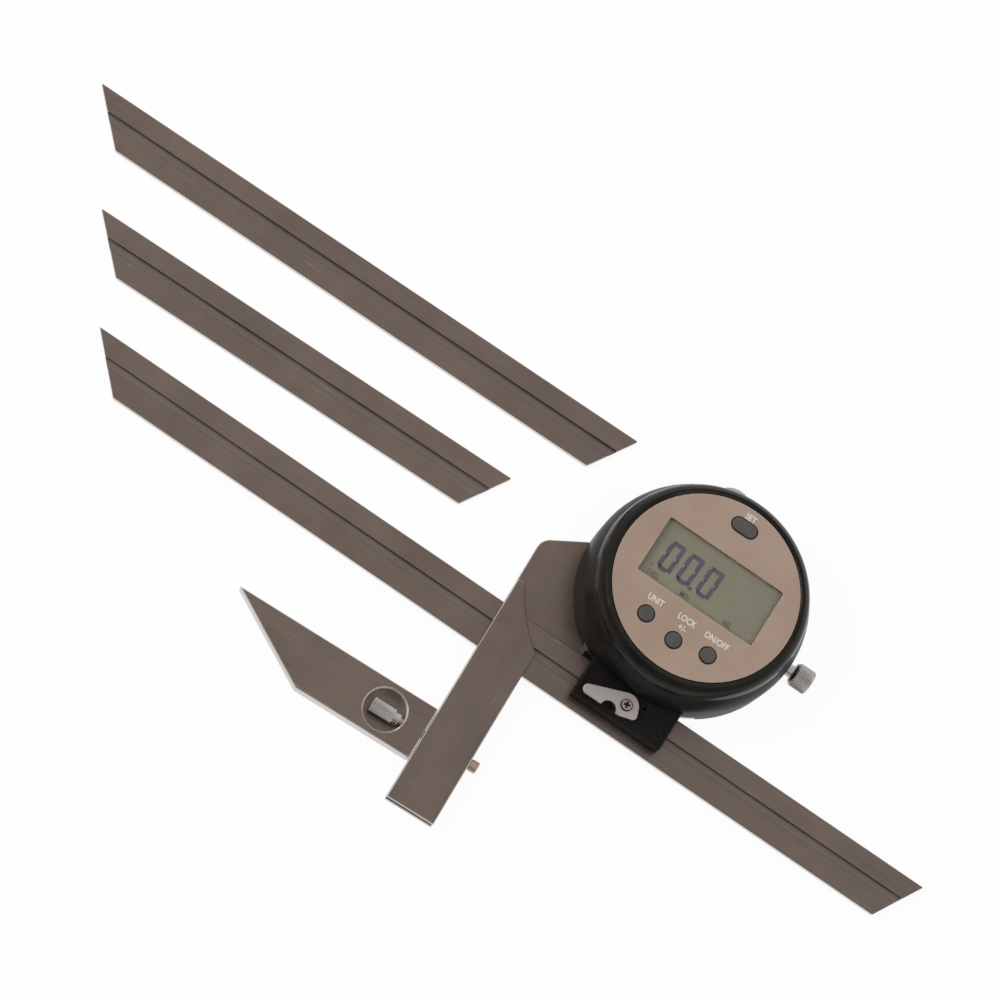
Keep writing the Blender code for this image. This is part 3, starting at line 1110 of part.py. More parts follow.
def build():
    clear_scene()
    head = bpy.data.objects.new("head_pivot", None)
    head.rotation_euler = (0.0, 0.0, HEAD_TURN)
    bpy.context.scene.collection.objects.link(head)
    plate = add_stock()
    add_pivot(plate)
    turret = add_turret(head)
    add_case(head, turret)
    add_front(head)
    add_buttons(head)
    add_button_mat(head)
    add_electronics(head)
    add_block(head, turret)
    add_lever(head)
    add_lock(head)
    add_fine_wheel(head)
    add_blade("blade_300", BLADE_LONG, (-BLADE_REACH, -BLADE_OFFSET), 0.0, BLADE_LOW, head)
    add_blade("blade_200", BLADE_MIDDLE, MIDDLE_PLACE, MIDDLE_TURN, 0.0)
    add_blade("blade_150", BLADE_SHORT, SHORT_PLACE, SHORT_TURN, 0.0)
    add_attachment()


build()
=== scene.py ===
import json
from math import atan2, cos, degrees, pi, radians, sin, tan
import bmesh
import bpy
import numpy as np
from mathutils import Matrix, Vector

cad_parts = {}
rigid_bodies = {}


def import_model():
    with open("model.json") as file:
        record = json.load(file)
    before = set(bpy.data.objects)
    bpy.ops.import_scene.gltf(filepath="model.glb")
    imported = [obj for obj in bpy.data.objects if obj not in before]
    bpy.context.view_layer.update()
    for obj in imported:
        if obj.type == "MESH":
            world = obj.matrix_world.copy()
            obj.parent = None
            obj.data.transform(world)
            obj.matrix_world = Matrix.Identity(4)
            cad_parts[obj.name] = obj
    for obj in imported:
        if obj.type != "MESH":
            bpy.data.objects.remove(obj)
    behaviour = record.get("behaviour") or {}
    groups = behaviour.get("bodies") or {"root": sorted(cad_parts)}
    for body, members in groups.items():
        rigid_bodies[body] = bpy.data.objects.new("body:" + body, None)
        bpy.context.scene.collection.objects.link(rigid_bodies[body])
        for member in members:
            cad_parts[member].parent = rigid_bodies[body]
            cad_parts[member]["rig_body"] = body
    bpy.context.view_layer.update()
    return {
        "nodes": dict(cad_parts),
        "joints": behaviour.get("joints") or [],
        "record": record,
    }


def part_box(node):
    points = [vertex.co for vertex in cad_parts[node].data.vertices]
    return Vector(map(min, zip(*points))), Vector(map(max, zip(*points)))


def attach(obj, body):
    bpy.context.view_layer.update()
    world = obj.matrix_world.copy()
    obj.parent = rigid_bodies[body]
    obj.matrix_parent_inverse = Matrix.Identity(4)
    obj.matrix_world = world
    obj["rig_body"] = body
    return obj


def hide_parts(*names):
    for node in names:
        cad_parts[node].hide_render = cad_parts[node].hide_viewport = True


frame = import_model()
nodes = frame["nodes"]
scene = bpy.context.scene
mm = 0.001
print("frame loaded:", len(nodes), "nodes")

# the head's turn about +Z, read from the direction in which the long blade slides
bladeAxis = next(joint["axis"] for joint in frame["joints"] if joint["name"] == "blade_slide")
headTurn = atan2(bladeAxis[1], bladeAxis[0])


# Node helpers

def setSocket(tree, socket, value):
    # a socket is linked, anything else becomes the socket's own value
    if isinstance(value, bpy.types.NodeSocket):
        tree.links.new(value, socket)
    else:
        socket.default_value = value


def addNode(tree, kind, inputs=None, **settings):
    node = tree.nodes.new(kind)
    for name, value in settings.items():
        setattr(node, name, value)
    for key, value in (inputs or {}).items():
        setSocket(tree, node.inputs[key], value)
    return node


def calc(tree, operation, first, second=0.0, clamp=False):
    node = addNode(tree, "ShaderNodeMath", {0: first, 1: second}, operation=operation, use_clamp=clamp)
    return node.outputs[0]


def stretch(tree, value, low, high, start=0.0, end=1.0):
    # low..high becomes start..end, held at both ends
    node = addNode(tree, "ShaderNodeMapRange", {0: value, 1: low, 2: high, 3: start, 4: end})
    return node.outputs[0]


def blendColour(tree, share, first, second, kind="MIX"):
    node = addNode(tree, "ShaderNodeMix", {0: share, 6: first, 7: second}, data_type="RGBA", blend_type=kind)
    return node.outputs[2]


def opaque(colour):
    return (*colour, 1.0)


def newGroup(name, inputs, outputs):
    group = bpy.data.node_groups.new(name, "ShaderNodeTree")
    for label, kind, value in inputs:
        socket = group.interface.new_socket(label, in_out="INPUT", socket_type="NodeSocket" + kind)
        if value is not None:
            socket.default_value = value
    for label, kind in outputs:
        group.interface.new_socket(label, in_out="OUTPUT", socket_type="NodeSocket" + kind)
    start = group.nodes.new("NodeGroupInput")
    end = group.nodes.new("NodeGroupOutput")
    return group, start.outputs, end.inputs


def useGroup(tree, group, inputs):
    node = addNode(tree, "ShaderNodeGroup", node_tree=group)
    for key, value in inputs.items():
        setSocket(tree, node.inputs[key], value)
    return node.outputs


# Shared surface effects: noise scales and details, mixing shares, and the levels that become 0 and 1

grindValues = dict(fine=1.0, fineDetail=3.0, broad=0.31, broadDetail=2.0, fineShare=0.6, levels=(0.36, 0.64))
patchValues = dict(smaller=4.3, largeDetail=2.0, smallDetail=4.0, largeShare=0.65, levels=(0.36, 0.62))
edgeValues = dict(samples=4, levels=(0.985, 0.80))
speckValues = dict(fineDetail=1.0, broad=70.0, broadDetail=2.0, rise=0.04, levels=(0.45, 0.6))
scratchValues = dict(drawn=1.0, broken=90.0, detail=2.0, middle=0.5, half=0.006, levels=(0.5, 0.62))


def addNoise(group, vector, scale, detail):
    node = addNode(group, "ShaderNodeTexNoise", {"Vector": vector, "Scale": scale, "Detail": detail})
    return node.outputs[0]


def drawOut(group, start):
    # the group's vector times (Along, Across, Across)
    across = addNode(group, "ShaderNodeCombineXYZ",
                     {0: start["Along"], 1: start["Across"], 2: start["Across"]})
    placed = addNode(group, "ShaderNodeVectorMath", {0: start["Vector"], 1: across.outputs[0]},
                     operation="MULTIPLY")
    return placed.outputs[0]


def shareOut(group, first, second, share):
    # first times share, plus second times the rest
    return calc(group, "ADD", calc(group, "MULTIPLY", first, share),
                calc(group, "MULTIPLY", second, 1.0 - share))


def makeGrindGroup(values):
    # noise drawn out along X and squeezed across Y, twice, so long and short wheel lines mix
    group, start, end = newGroup(
        "grindLines",
        [("Vector", "Vector", None), ("Along", "Float", 60.0), ("Across", "Float", 4000.0)],
        [("Lines", "Float"), ("Height", "Float")])
    placed = drawOut(group, start)
    fine = addNoise(group, placed, values["fine"], values["fineDetail"])
    broad = addNoise(group, placed, values["broad"], values["broadDetail"])
    both = shareOut(group, fine, broad, values["fineShare"])
    group.links.new(stretch(group, both, *values["levels"]), end["Lines"])
    group.links.new(both, end["Height"])
    return group


def makePatchGroup(values):
    # slow noise at two sizes: stains, handling and uneven finish
    group, start, end = newGroup(
        "softPatches", [("Vector", "Vector", None), ("Size", "Float", 30.0)], [("Mask", "Float")])
    large = addNoise(group, start["Vector"], start["Size"], values["largeDetail"])
    smaller = calc(group, "MULTIPLY", start["Size"], values["smaller"])
    small = addNoise(group, start["Vector"], smaller, values["smallDetail"])
    both = shareOut(group, large, small, values["largeShare"])
    group.links.new(stretch(group, both, *values["levels"]), end["Mask"])
    return group


def makeEdgeGroup(values):
    # how far the rounded normal leans off the true one: 0 on flats, 1 along edges
    group, start, end = newGroup("edgeRubAndHighlight", [("Radius", "Float", 0.0003)], [("Mask", "Float")])
    rounded = addNode(group, "ShaderNodeBevel", {"Radius": start["Radius"]}, samples=values["samples"])
    surface = addNode(group, "ShaderNodeNewGeometry")
    lean = addNode(group, "ShaderNodeVectorMath", {0: rounded.outputs[0], 1: surface.outputs["Normal"]},
                   operation="DOT_PRODUCT")
    group.links.new(stretch(group, lean.outputs["Value"], *values["levels"]), end["Mask"])
    return group


def makeSpeckGroup(values):
    # the peaks of a fine noise, kept only where a broad one is high: dust and pinholes
    group, start, end = newGroup(
        "specks", [("Vector", "Vector", None), ("Scale", "Float", 1800.0), ("Level", "Float", 0.68)],
        [("Mask", "Float")])
    fine = addNoise(group, start["Vector"], start["Scale"], values["fineDetail"])
    broad = addNoise(group, start["Vector"], values["broad"], values["broadDetail"])
    peak = stretch(group, calc(group, "SUBTRACT", fine, start["Level"]), 0.0, values["rise"])
    kept = stretch(group, broad, *values["levels"])
    group.links.new(calc(group, "MULTIPLY", peak, kept), end["Mask"])
    return group


def makeScratchGroup(values):
    # thin level lines of a noise drawn out along X, broken up by a broad noise
    group, start, end = newGroup(
        "scratches", [("Vector", "Vector", None), ("Along", "Float", 14.0), ("Across", "Float", 420.0)],
        [("Mask", "Float")])
    drawn = addNoise(group, drawOut(group, start), values["drawn"], values["detail"])
    broken = addNoise(group, start["Vector"], values["broken"], values["detail"])
    offLine = calc(group, "ABSOLUTE", calc(group, "SUBTRACT", drawn, values["middle"]))
    thin = stretch(group, offLine, 0.0, values["half"], 1.0, 0.0)
    kept = stretch(group, broken, *values["levels"])
    group.links.new(calc(group, "MULTIPLY", thin, kept), end["Mask"])
    return group


grindGroup = makeGrindGroup(grindValues)
patchGroup = makePatchGroup(patchValues)
edgeGroup = makeEdgeGroup(edgeValues)
speckGroup = makeSpeckGroup(speckValues)
scratchGroup = makeScratchGroup(scratchValues)
print("surface effects ready")


# Materials

def startMaterial(name, turn=0.0):
    # returns the tree, its Principled shader and the object's own coordinates, turned about +Z
    made = bpy.data.materials.new(name)
    made.use_nodes = True
    tree = made.node_tree
    shader = tree.nodes["Principled BSDF"]
    place = addNode(tree, "ShaderNodeTexCoord")
    turned = addNode(tree, "ShaderNodeMapping", {"Vector": place.outputs["Object"],
                                                 "Rotation": (0.0, 0.0, -turn)})
    return made, tree, shader, turned.outputs[0]


def addBump(tree, shader, height, strength, distance):
    bump = addNode(tree, "ShaderNodeBump", {"Height": height, "Strength": strength, "Distance": distance})
    tree.links.new(bump.outputs[0], shader.inputs["Normal"])


stainSizeShare = 0.43
lineRoughness = 0.05
dustRoughness = 0.3


def metalFinish(name, look, turn=0.0):
    # ground metal: grind lines, soft stains, fine scratches, and edges that are rubbed and carry a painted
    # highlight
    made, tree, shader, place = startMaterial(name, turn)
    grind = useGroup(tree, grindGroup, {"Vector": place, "Along": look["along"], "Across": look["across"]})
    patch = useGroup(tree, patchGroup, {"Vector": place, "Size": look["patchSize"]})
    scratch = useGroup(tree, scratchGroup, {"Vector": place})
    edge = useGroup(tree, edgeGroup, {"Radius": look["edgeRadius"]})
    colour = blendColour(tree, patch["Mask"], opaque(look["dark"]), opaque(look["light"]))
    stain = useGroup(tree, patchGroup, {"Vector": place, "Size": look["patchSize"] * stainSizeShare})
    stained = calc(tree, "MULTIPLY", stain["Mask"], look["stainShare"])
    colour = blendColour(tree, stained, colour, opaque(look["stain"]))
    lined = calc(tree, "MULTIPLY", grind["Lines"], look["lineShare"])
    colour = blendColour(tree, lined, colour, opaque(look["line"]))
    # the edge colour laid along the edges: rubbed wear with a painted highlight
    rubbedAndHighlit = calc(tree, "MULTIPLY", edge["Mask"], look["edgeShare"])
    colour = blendColour(tree, rubbedAndHighlit, colour, opaque(look["edge"]))
    scored = calc(tree, "MULTIPLY", scratch["Mask"], look["scratchShare"])
    colour = blendColour(tree, scored, colour, opaque(look["edge"]))
    tree.links.new(colour, shader.inputs["Base Color"])
    rough = stretch(tree, patch["Mask"], 0.0, 1.0, look["rough"], look["rough"] + look["roughSpread"])
    rough = calc(tree, "ADD", rough, calc(tree, "MULTIPLY", grind["Lines"], lineRoughness))
    tree.links.new(rough, shader.inputs["Roughness"])
    shader.inputs["Metallic"].default_value = look["metallic"]
    addBump(tree, shader, grind["Height"], look["bump"], look["bumpDepth"])
    return made


def plasticFinish(name, look):
    # moulded or coated surface: fine texture, dust, dull handling marks, and edges that are rubbed and carry
    # a painted highlight
    made, tree, shader, place = startMaterial(name)
    patch = useGroup(tree, patchGroup, {"Vector": place, "Size": look["patchSize"]})
    dust = useGroup(tree, speckGroup,
                    {"Vector": place, "Scale": look["dustScale"], "Level": look["dustLevel"]})
    edge = useGroup(tree, edgeGroup, {"Radius": look["edgeRadius"]})
    texture = addNoise(tree, place, look["grainScale"], look["grainDetail"])
    colour = blendColour(tree, patch["Mask"], opaque(look["dark"]), opaque(look["light"]))
    # the edge colour laid along the edges: rubbed wear with a painted highlight
    rubbedAndHighlit = calc(tree, "MULTIPLY", edge["Mask"], look["edgeShare"])
    colour = blendColour(tree, rubbedAndHighlit, colour, opaque(look["edge"]))
    dusted = calc(tree, "MULTIPLY", dust["Mask"], look["dustShare"])
    colour = blendColour(tree, dusted, colour, opaque(look["dust"]))
    tree.links.new(colour, shader.inputs["Base Color"])
    rough = stretch(tree, patch["Mask"], 0.0, 1.0, look["rough"], look["rough"] + look["roughSpread"])
    rough = calc(tree, "ADD", rough, calc(tree, "MULTIPLY", dust["Mask"], dustRoughness))
    tree.links.new(rough, shader.inputs["Roughness"])
    shader.inputs["Specular IOR Level"].default_value = look["specular"]
    shader.inputs["Specular Tint"].default_value = opaque(look["tint"])
    addBump(tree, shader, texture, look["bump"], look["bumpDepth"])
    return made


# each look's edge colour is rubbed wear with a painted edge highlight; the metal finishes draw their
# scratches in it too
steelLook = dict(
    dark=(0.158, 0.124, 0.102), light=(0.206, 0.164, 0.134), line=(0.255, 0.208, 0.174),
    edge=(0.50, 0.45, 0.41), stain=(0.165, 0.128, 0.122), stainShare=0.6, along=40.0, across=3800.0,
    patchSize=34.0, edgeRadius=0.25 * mm, lineShare=0.22, edgeShare=0.5, scratchShare=0.25, rough=0.30,
    roughSpread=0.10, metallic=1.0, bump=0.20, bumpDepth=0.04 * mm)
brightLook = dict(
    steelLook, stainShare=0.0, dark=(0.39, 0.365, 0.35), light=(0.52, 0.49, 0.47), line=(0.60, 0.57, 0.55),
    edge=(0.80, 0.77, 0.74), along=300.0, across=3000.0, patchSize=90.0, lineShare=0.3, edgeShare=0.4,
    scratchShare=0.1, rough=0.24)
leverLook = dict(
    brightLook, dark=(0.37, 0.335, 0.325), light=(0.44, 0.40, 0.39), line=(0.50, 0.46, 0.45),
    edge=(0.78, 0.74, 0.72), along=900.0, across=900.0, lineShare=0.2, edgeShare=0.6, rough=0.42,
    metallic=0.7, edgeRadius=0.3 * mm, scratchShare=0.0)
champagneLook = dict(
    steelLook, stainShare=0.0, dark=(0.375, 0.275, 0.215), light=(0.43, 0.325, 0.26), line=(0.49, 0.38, 0.31),
    edge=(0.72, 0.62, 0.53), along=260.0, across=2600.0, patchSize=26.0, lineShare=0.25, edgeShare=0.7,
    scratchShare=0.05, rough=0.40, roughSpread=0.06, metallic=0.75, bump=0.08, edgeRadius=0.2 * mm)
# side faces much lighter than the tops: a painted highlight
flankHighlightLook = dict(
    steelLook, stainShare=0.0, dark=(0.58, 0.54, 0.51), light=(0.70, 0.66, 0.62), line=(0.76, 0.72, 0.69),
    lineShare=0.3, scratchShare=0.0, rough=0.34)
grooveLook = dict(
    steelLook, dark=(0.160, 0.130, 0.119), light=(0.206, 0.170, 0.156), line=(0.27, 0.23, 0.21),
    across=5200.0, lineShare=0.30, rough=0.38, bump=0.30)
screwLook = dict(
    brightLook, dark=(0.34, 0.25, 0.20), light=(0.46, 0.35, 0.28), line=(0.55, 0.43, 0.35), rough=0.28)
brassLook = dict(
    brightLook, dark=(0.48, 0.34, 0.13), light=(0.60, 0.44, 0.18), line=(0.68, 0.52, 0.25),
    edge=(0.80, 0.66, 0.36))
caseLook = dict(
    dark=(0.0065, 0.006, 0.0055), light=(0.011, 0.0105, 0.0095), edge=(0.05, 0.05, 0.047),
    dust=(0.09, 0.085, 0.08), patchSize=40.0, dustScale=2200.0, dustLevel=0.69, edgeRadius=0.3 * mm,
    grainScale=5200.0, grainDetail=3.0, edgeShare=0.5, dustShare=0.5, rough=0.30, roughSpread=0.12,
    specular=0.10, tint=(1.0, 0.88, 0.76), bump=0.12, bumpDepth=0.03 * mm)
bezelLook = dict(caseLook, rough=0.14, roughSpread=0.10, specular=0.18, bump=0.03, edgeShare=0.35)
blackSteelLook = dict(
    caseLook, dark=(0.005, 0.005, 0.0048), light=(0.010, 0.0098, 0.009), edge=(0.10, 0.085, 0.07),
    rough=0.36, specular=0.08, grainScale=9000.0, edgeShare=0.6, edgeRadius=0.2 * mm)
buttonLook = dict(
    caseLook, dark=(0.066, 0.063, 0.063), light=(0.090, 0.086, 0.085), edge=(0.20, 0.19, 0.185),
    rough=0.42, specular=0.3, grainScale=7000.0, edgeShare=0.7, dustShare=0.2, edgeRadius=0.5 * mm)
rubberLook = dict(caseLook, dark=(0.012, 0.012, 0.012), light=(0.02, 0.02, 0.02), rough=0.7, edgeShare=0.1)
boardLook = dict(
    caseLook, dark=(0.010, 0.085, 0.032), light=(0.016, 0.12, 0.048), edge=(0.35, 0.34, 0.22), rough=0.35,
    grainScale=2500.0, specular=0.4)
displayLook = dict(
    caseLook, dark=(0.165, 0.148, 0.107), light=(0.178, 0.161, 0.117), edge=(0.14, 0.13, 0.10),
    rough=0.34, roughSpread=0.04, specular=0.4, grainScale=9000.0, edgeShare=0.2, dustShare=0.0,
    patchSize=18.0, bump=0.02)
digitLook = dict(
    displayLook, dark=(0.050, 0.042, 0.072), light=(0.062, 0.053, 0.088), edge=(0.06, 0.05, 0.08))
faintLook = dict(
    displayLook, dark=(0.050, 0.048, 0.038), light=(0.062, 0.060, 0.048), edge=(0.07, 0.07, 0.055))
printLook = dict(
    displayLook, dark=(0.66, 0.60, 0.55), light=(0.74, 0.68, 0.62), edge=(0.8, 0.75, 0.7), rough=0.5)
glassLook = dict(colour=(0.93, 0.95, 0.92), bend=1.35, smearSize=60.0, rough=(0.02, 0.07))


def glassFinish(name, look):
    # clear flat window: it lets the lamps through to the display below it
    made, tree, shader, place = startMaterial(name)
    shader.inputs["Base Color"].default_value = opaque(look["colour"])
    shader.inputs["Transmission Weight"].default_value = 1.0
    shader.inputs["IOR"].default_value = look["bend"]
    smear = useGroup(tree, patchGroup, {"Vector": place, "Size": look["smearSize"]})
    tree.links.new(stretch(tree, smear["Mask"], 0.0, 1.0, *look["rough"]), shader.inputs["Roughness"])
    path = addNode(tree, "ShaderNodeLightPath")
    clear = addNode(tree, "ShaderNodeBsdfTransparent")
    choice = addNode(tree, "ShaderNodeMixShader", {0: path.outputs["Is Shadow Ray"], 1: shader.outputs[0],
                                                   2: clear.outputs[0]})
    end = next(node for node in tree.nodes if node.type == "OUTPUT_MATERIAL")
    tree.links.new(choice.outputs[0], end.inputs["Surface"])
    return made


barTurn = pi / 2
finishes = {
    "stockSteel": metalFinish("stockSteel", steelLook, barTurn),
    "attachmentSteel": metalFinish("attachmentSteel", steelLook),
    "flankHighlight": metalFinish("flankHighlight", flankHighlightLook),
    "screwSteel": metalFinish("screwSteel", screwLook),
    "brightSteel": metalFinish("brightSteel", brightLook),
    "leverSteel": metalFinish("leverSteel", leverLook, headTurn),
    "faceChampagne": metalFinish("faceChampagne", champagneLook, headTurn),
    "brass": metalFinish("brass", brassLook),
    "caseBlack": plasticFinish("caseBlack", caseLook),
    "bezelBlack": plasticFinish("bezelBlack", bezelLook),
    "blackSteel": plasticFinish("blackSteel", blackSteelLook),
    "buttonGrey": plasticFinish("buttonGrey", buttonLook),
    "matRubber": plasticFinish("matRubber", rubberLook),
    "boardGreen": plasticFinish("boardGreen", boardLook),
    "displayGrey": plasticFinish("displayGrey", displayLook),
    "digitInk": plasticFinish("digitInk", digitLook),
    "faintInk": plasticFinish("faintInk", faintLook),
    "printInk": plasticFinish("printInk", printLook),
    "windowGlass": glassFinish("windowGlass", glassLook),
}
slotFinish = {
    "stock_steel": "stockSteel", "blade_steel": "attachmentSteel", "bright_steel": "brightSteel",
    "black_steel": "blackSteel", "case_black": "caseBlack", "bezel_black": "bezelBlack",
    "face_champagne": "faceChampagne", "lcd_window": "windowGlass", "lcd_grey": "displayGrey",
    "button_grey": "buttonGrey", "mat_rubber": "matRubber", "board_green": "boardGreen", "brass": "brass",
}
nodeSlot = {part["node"]: part["material_slot"] for part in frame["record"]["subparts"]}
for node, slot in nodeSlot.items():
    nodes[node].data.materials.clear()
    nodes[node].data.materials.append(finishes[slotFinish[slot]])
print("materials ready:", len(finishes))


# Mesh helpers

def headPlace(points):
    # turns points of the head's own frame about +Z into the shared frame
    points = np.asarray(points, float)
    x, y = points[..., 0], points[..., 1]
    turned = np.array(points)
    turned[..., 0] = x * cos(headTurn) - y * sin(headTurn)
    turned[..., 1] = x * sin(headTurn) + y * cos(headTurn)
    return turned


def gridFaces(rows, columns):
    # the quads of a rows by columns grid whose columns run round and close
    row, column = np.meshgrid(np.arange(rows - 1), np.arange(columns), indexing="ij")
    after = (column + 1) % columns
    corners = [row * columns + column, row * columns + after,
               (row + 1) * columns + after, (row + 1) * columns + column]
    return np.stack(corners, -1).reshape(-1, 4)


# faces whose normal's z share is under the limit: upright, sloped or upright, and not level
uprightLimit = 0.2
slopedLimit = 0.85
levelLimit = 0.5
pieceWeld = 1e-7
nodeWeld = 1e-6
flatAngle = radians(1.0)


def makePiece(name, points, faces, finish, node=None, body=None, angle=32.0):
    # puts the arrays into a mesh, welds doubles, turns faces out, and stands in for its node
    mesh = bpy.data.meshes.new(name)
    mesh.from_pydata(np.asarray(points).reshape(-1, 3).tolist(), [],
                     [list(map(int, face)) for face in faces])
    work = bmesh.new()
    work.from_mesh(mesh)
    bmesh.ops.remove_doubles(work, verts=work.verts, dist=pieceWeld)
    bmesh.ops.dissolve_degenerate(work, edges=work.edges, dist=pieceWeld)
    bmesh.ops.recalc_face_normals(work, faces=work.faces)
    work.to_mesh(mesh)
    work.free()
    mesh.shade_smooth()
    mesh.set_sharp_from_angle(angle=radians(angle))
    mesh.materials.append(finishes[finish])
    piece = bpy.data.objects.new(name, mesh)
    scene.collection.objects.link(piece)
    if node:
        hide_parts(node)
        body = nodes[node]["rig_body"]
    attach(piece, body)
    return piece


def softenNode(name, node, finish, width, side=None, angle=30.0, segments=2):
    # a welded copy of a node's mesh with its corners broken by a narrow bevel; side, when given, paints a
    # highlight on its flanks
    mesh = bpy.data.meshes.new(name)
    work = bmesh.new()
    work.from_mesh(nodes[node].data)
    bmesh.ops.remove_doubles(work, verts=work.verts, dist=nodeWeld)
    bmesh.ops.dissolve_limit(work, angle_limit=flatAngle, verts=work.verts, edges=work.edges)
    bmesh.ops.recalc_face_normals(work, faces=work.faces)
    for face in work.faces:
        flank = side is not None and abs(face.normal.z) < slopedLimit
        face.material_index = 1 if flank else 0
    work.to_mesh(mesh)
    work.free()
    if "custom_normal" in mesh.attributes:
        mesh.attributes.remove(mesh.attributes["custom_normal"])
    mesh.shade_smooth()
    mesh.materials.append(finishes[finish])
    if side is not None:
        mesh.materials.append(finishes[side])
    piece = bpy.data.objects.new(name, mesh)
    scene.collection.objects.link(piece)
    bevel = piece.modifiers.new("brokenCorners", "BEVEL")
    bevel.width = width
    bevel.segments = segments
    bevel.limit_method = "ANGLE"
    bevel.angle_limit = radians(angle)
    bevel.harden_normals = True
    bevel.miter_outer = "MITER_ARC"
    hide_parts(node)
    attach(piece, nodes[node]["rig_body"])
    return piece


# Blades: one cross-section with a sloped groove, carried along the length, its ends cut slanting

bladeShape = dict(
    width=16.0 * mm, thick=2.0 * mm, corner=0.2 * mm, leftCut=radians(45.0), rightCut=radians(60.0),
    grooveInset=6.6 * mm, grooveWidth=2.8 * mm, grooveDepth=1.0 * mm, grooveEdge=0.12 * mm,
    grooveFoot=0.15 * mm)
bladePlaces = {
    "longBlade": dict(node="blade_300", length=300.0 * mm, turn=headTurn, head=(-194.2 * mm, -32.6 * mm)),
    "middleBlade": dict(
        node="blade_200", length=200.0 * mm, turn=radians(-1.85), corner=(-238.5 * mm, 44.0 * mm)),
    "shortBlade": dict(
        node="blade_150", length=150.0 * mm, turn=radians(-1.45), corner=(-216.0 * mm, 8.8 * mm)),
}


def bladeSection(shape):
    # y runs down from the upper edge, z up from the lower face
    width, thick, corner = shape["width"], shape["thick"], shape["corner"]
    edge, foot = shape["grooveEdge"], shape["grooveFoot"]
    top = shape["grooveInset"]
    bottom = top + shape["grooveWidth"]
    floor = thick - shape["grooveDepth"]
    return np.array([
        (corner, 0.0), (0.0, corner), (0.0, thick - corner), (corner, thick),
        (top - edge, thick), (top, thick - edge), (top, floor + foot), (top + foot, floor),
        (bottom - foot, floor), (bottom, floor + foot), (bottom, thick - edge), (bottom + edge, thick),
        (width - corner, thick), (width, thick - corner), (width, corner), (width - corner, 0.0)])


def makeBlade(name, place, shape):
    # station s along the length: x = left cut at that depth, plus s times what is left of the length
    section = bladeSection(shape)
    corner, width, thick = shape["corner"], shape["width"], shape["thick"]
    along = corner / place["length"]
    stations = np.array([0.0, along, 0.25, 0.5, 0.75, 1.0 - along, 1.0])
    rows = []
    for station in stations:
        depth, height = section[:, 0].copy(), section[:, 1].copy()
        if station in (0.0, 1.0):
            depth = np.clip(depth, corner, width - corner)
            height = np.clip(height, corner, thick - corner)
        left = depth / tan(shape["leftCut"])
        right = place["length"] - depth / tan(shape["rightCut"])
        rows.append(np.stack([left + (right - left) * station, -depth, height], -1))
    points = np.array(rows)
    if "head" in place:
        origin = headPlace([*place["head"], 0.0])
    else:
        origin = np.array([*place["corner"], 0.0])
    x, y = points[..., 0], points[..., 1]
    turned = np.stack([x * cos(place["turn"]) - y * sin(place["turn"]) + origin[0],
                       x * sin(place["turn"]) + y * cos(place["turn"]) + origin[1],
                       points[..., 2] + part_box(place["node"])[0].z], -1)
    count = len(section)
    faces = gridFaces(len(stations), count).tolist()
    faces += [list(range(count)), [count * (len(stations) - 1) + i for i in range(count)]]
    finishes[name] = metalFinish(name + "Steel", steelLook, place["turn"])
    piece = makePiece(name, turned, faces, name, node=place["node"])
    # the lower upright faces take the painted flank highlight
    piece.data.materials.append(finishes["flankHighlight"])
    piece.data.materials.append(metalFinish(name + "Groove", grooveLook, place["turn"]))
    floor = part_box(place["node"])[0].z + thick - shape["grooveDepth"] / 2
    for face in piece.data.polygons:
        if abs(face.normal.z) < uprightLimit and face.center.z < floor:
            face.material_index = 1
        if face.normal.z > levelLimit and face.center.z < floor:
            face.material_index = 2
    return piece


for bladeName, bladePlace in bladePlaces.items():
    makeBlade(bladeName, bladePlace, bladeShape)
print("blades ready")


# Turned pieces

def turnedSurface(profile, steps):
    # radius and height along a closed profile, carried round +Z: x = r cos a, y = r sin a
    profile = np.asarray(profile, float)
    profile = np.vstack([profile, profile[:1]])
    angles = np.linspace(0.0, 2 * pi, steps, endpoint=False)
    radius, height = profile[:, :1], profile[:, 1:]
    points = np.stack([radius * np.cos(angles), radius * np.sin(angles), height + 0.0 * angles], -1)
    return points, gridFaces(len(profile), steps)


bezelShape = dict(
    low=20.5 * mm, top=25.8 * mm, outer=33.3 * mm, lip=29.3 * mm, rim=1.2 * mm, bulge=0.5 * mm, steps=256,
    sideSteps=20, round=0.25 * mm, faceTop=25.5 * mm, faceLow=24.6 * mm, shelf=1.6 * mm, shelfLow=23.6 * mm,
    spigot=30.8 * mm, spigotWall=1.0 * mm, spigotDrop=1.8 * mm, lipRise=0.08 * mm, lipDrop=0.1 * mm)


def makeBezel(shape):
    # the side leans in from outer to rim as a straight line plus a half sine of bulge
    share = np.linspace(0.0, 1.0, shape["sideSteps"])
    rim = shape["lip"] + shape["rim"]
    swell = shape["bulge"] * np.sin(pi * share)
    side = np.stack([shape["outer"] + (rim - shape["outer"]) * share + swell,
                     shape["low"] + (shape["top"] - shape["low"]) * share + swell], -1)
    lip, low = shape["lip"], shape["low"]
    shelf = lip - shape["shelf"]
    spigot, foot = shape["spigot"], low - shape["spigotDrop"]
    innerSpigot = spigot - shape["spigotWall"]
    inside = [(lip + shape["round"], shape["faceTop"] + shape["lipRise"]),
              (lip, shape["faceTop"] - shape["lipDrop"]), (lip, shape["faceLow"]), (shelf, shape["faceLow"]),
              (shelf, shape["shelfLow"]), (innerSpigot, low), (innerSpigot, foot), (spigot, foot),
              (spigot, low)]
    points, faces = turnedSurface(np.vstack([side, inside]), shape["steps"])
    return makePiece("bezelRing", points, faces, "bezelBlack", node="bezel")


makeBezel(bezelShape)


sawGain = 1.5
sawShift = 0.25


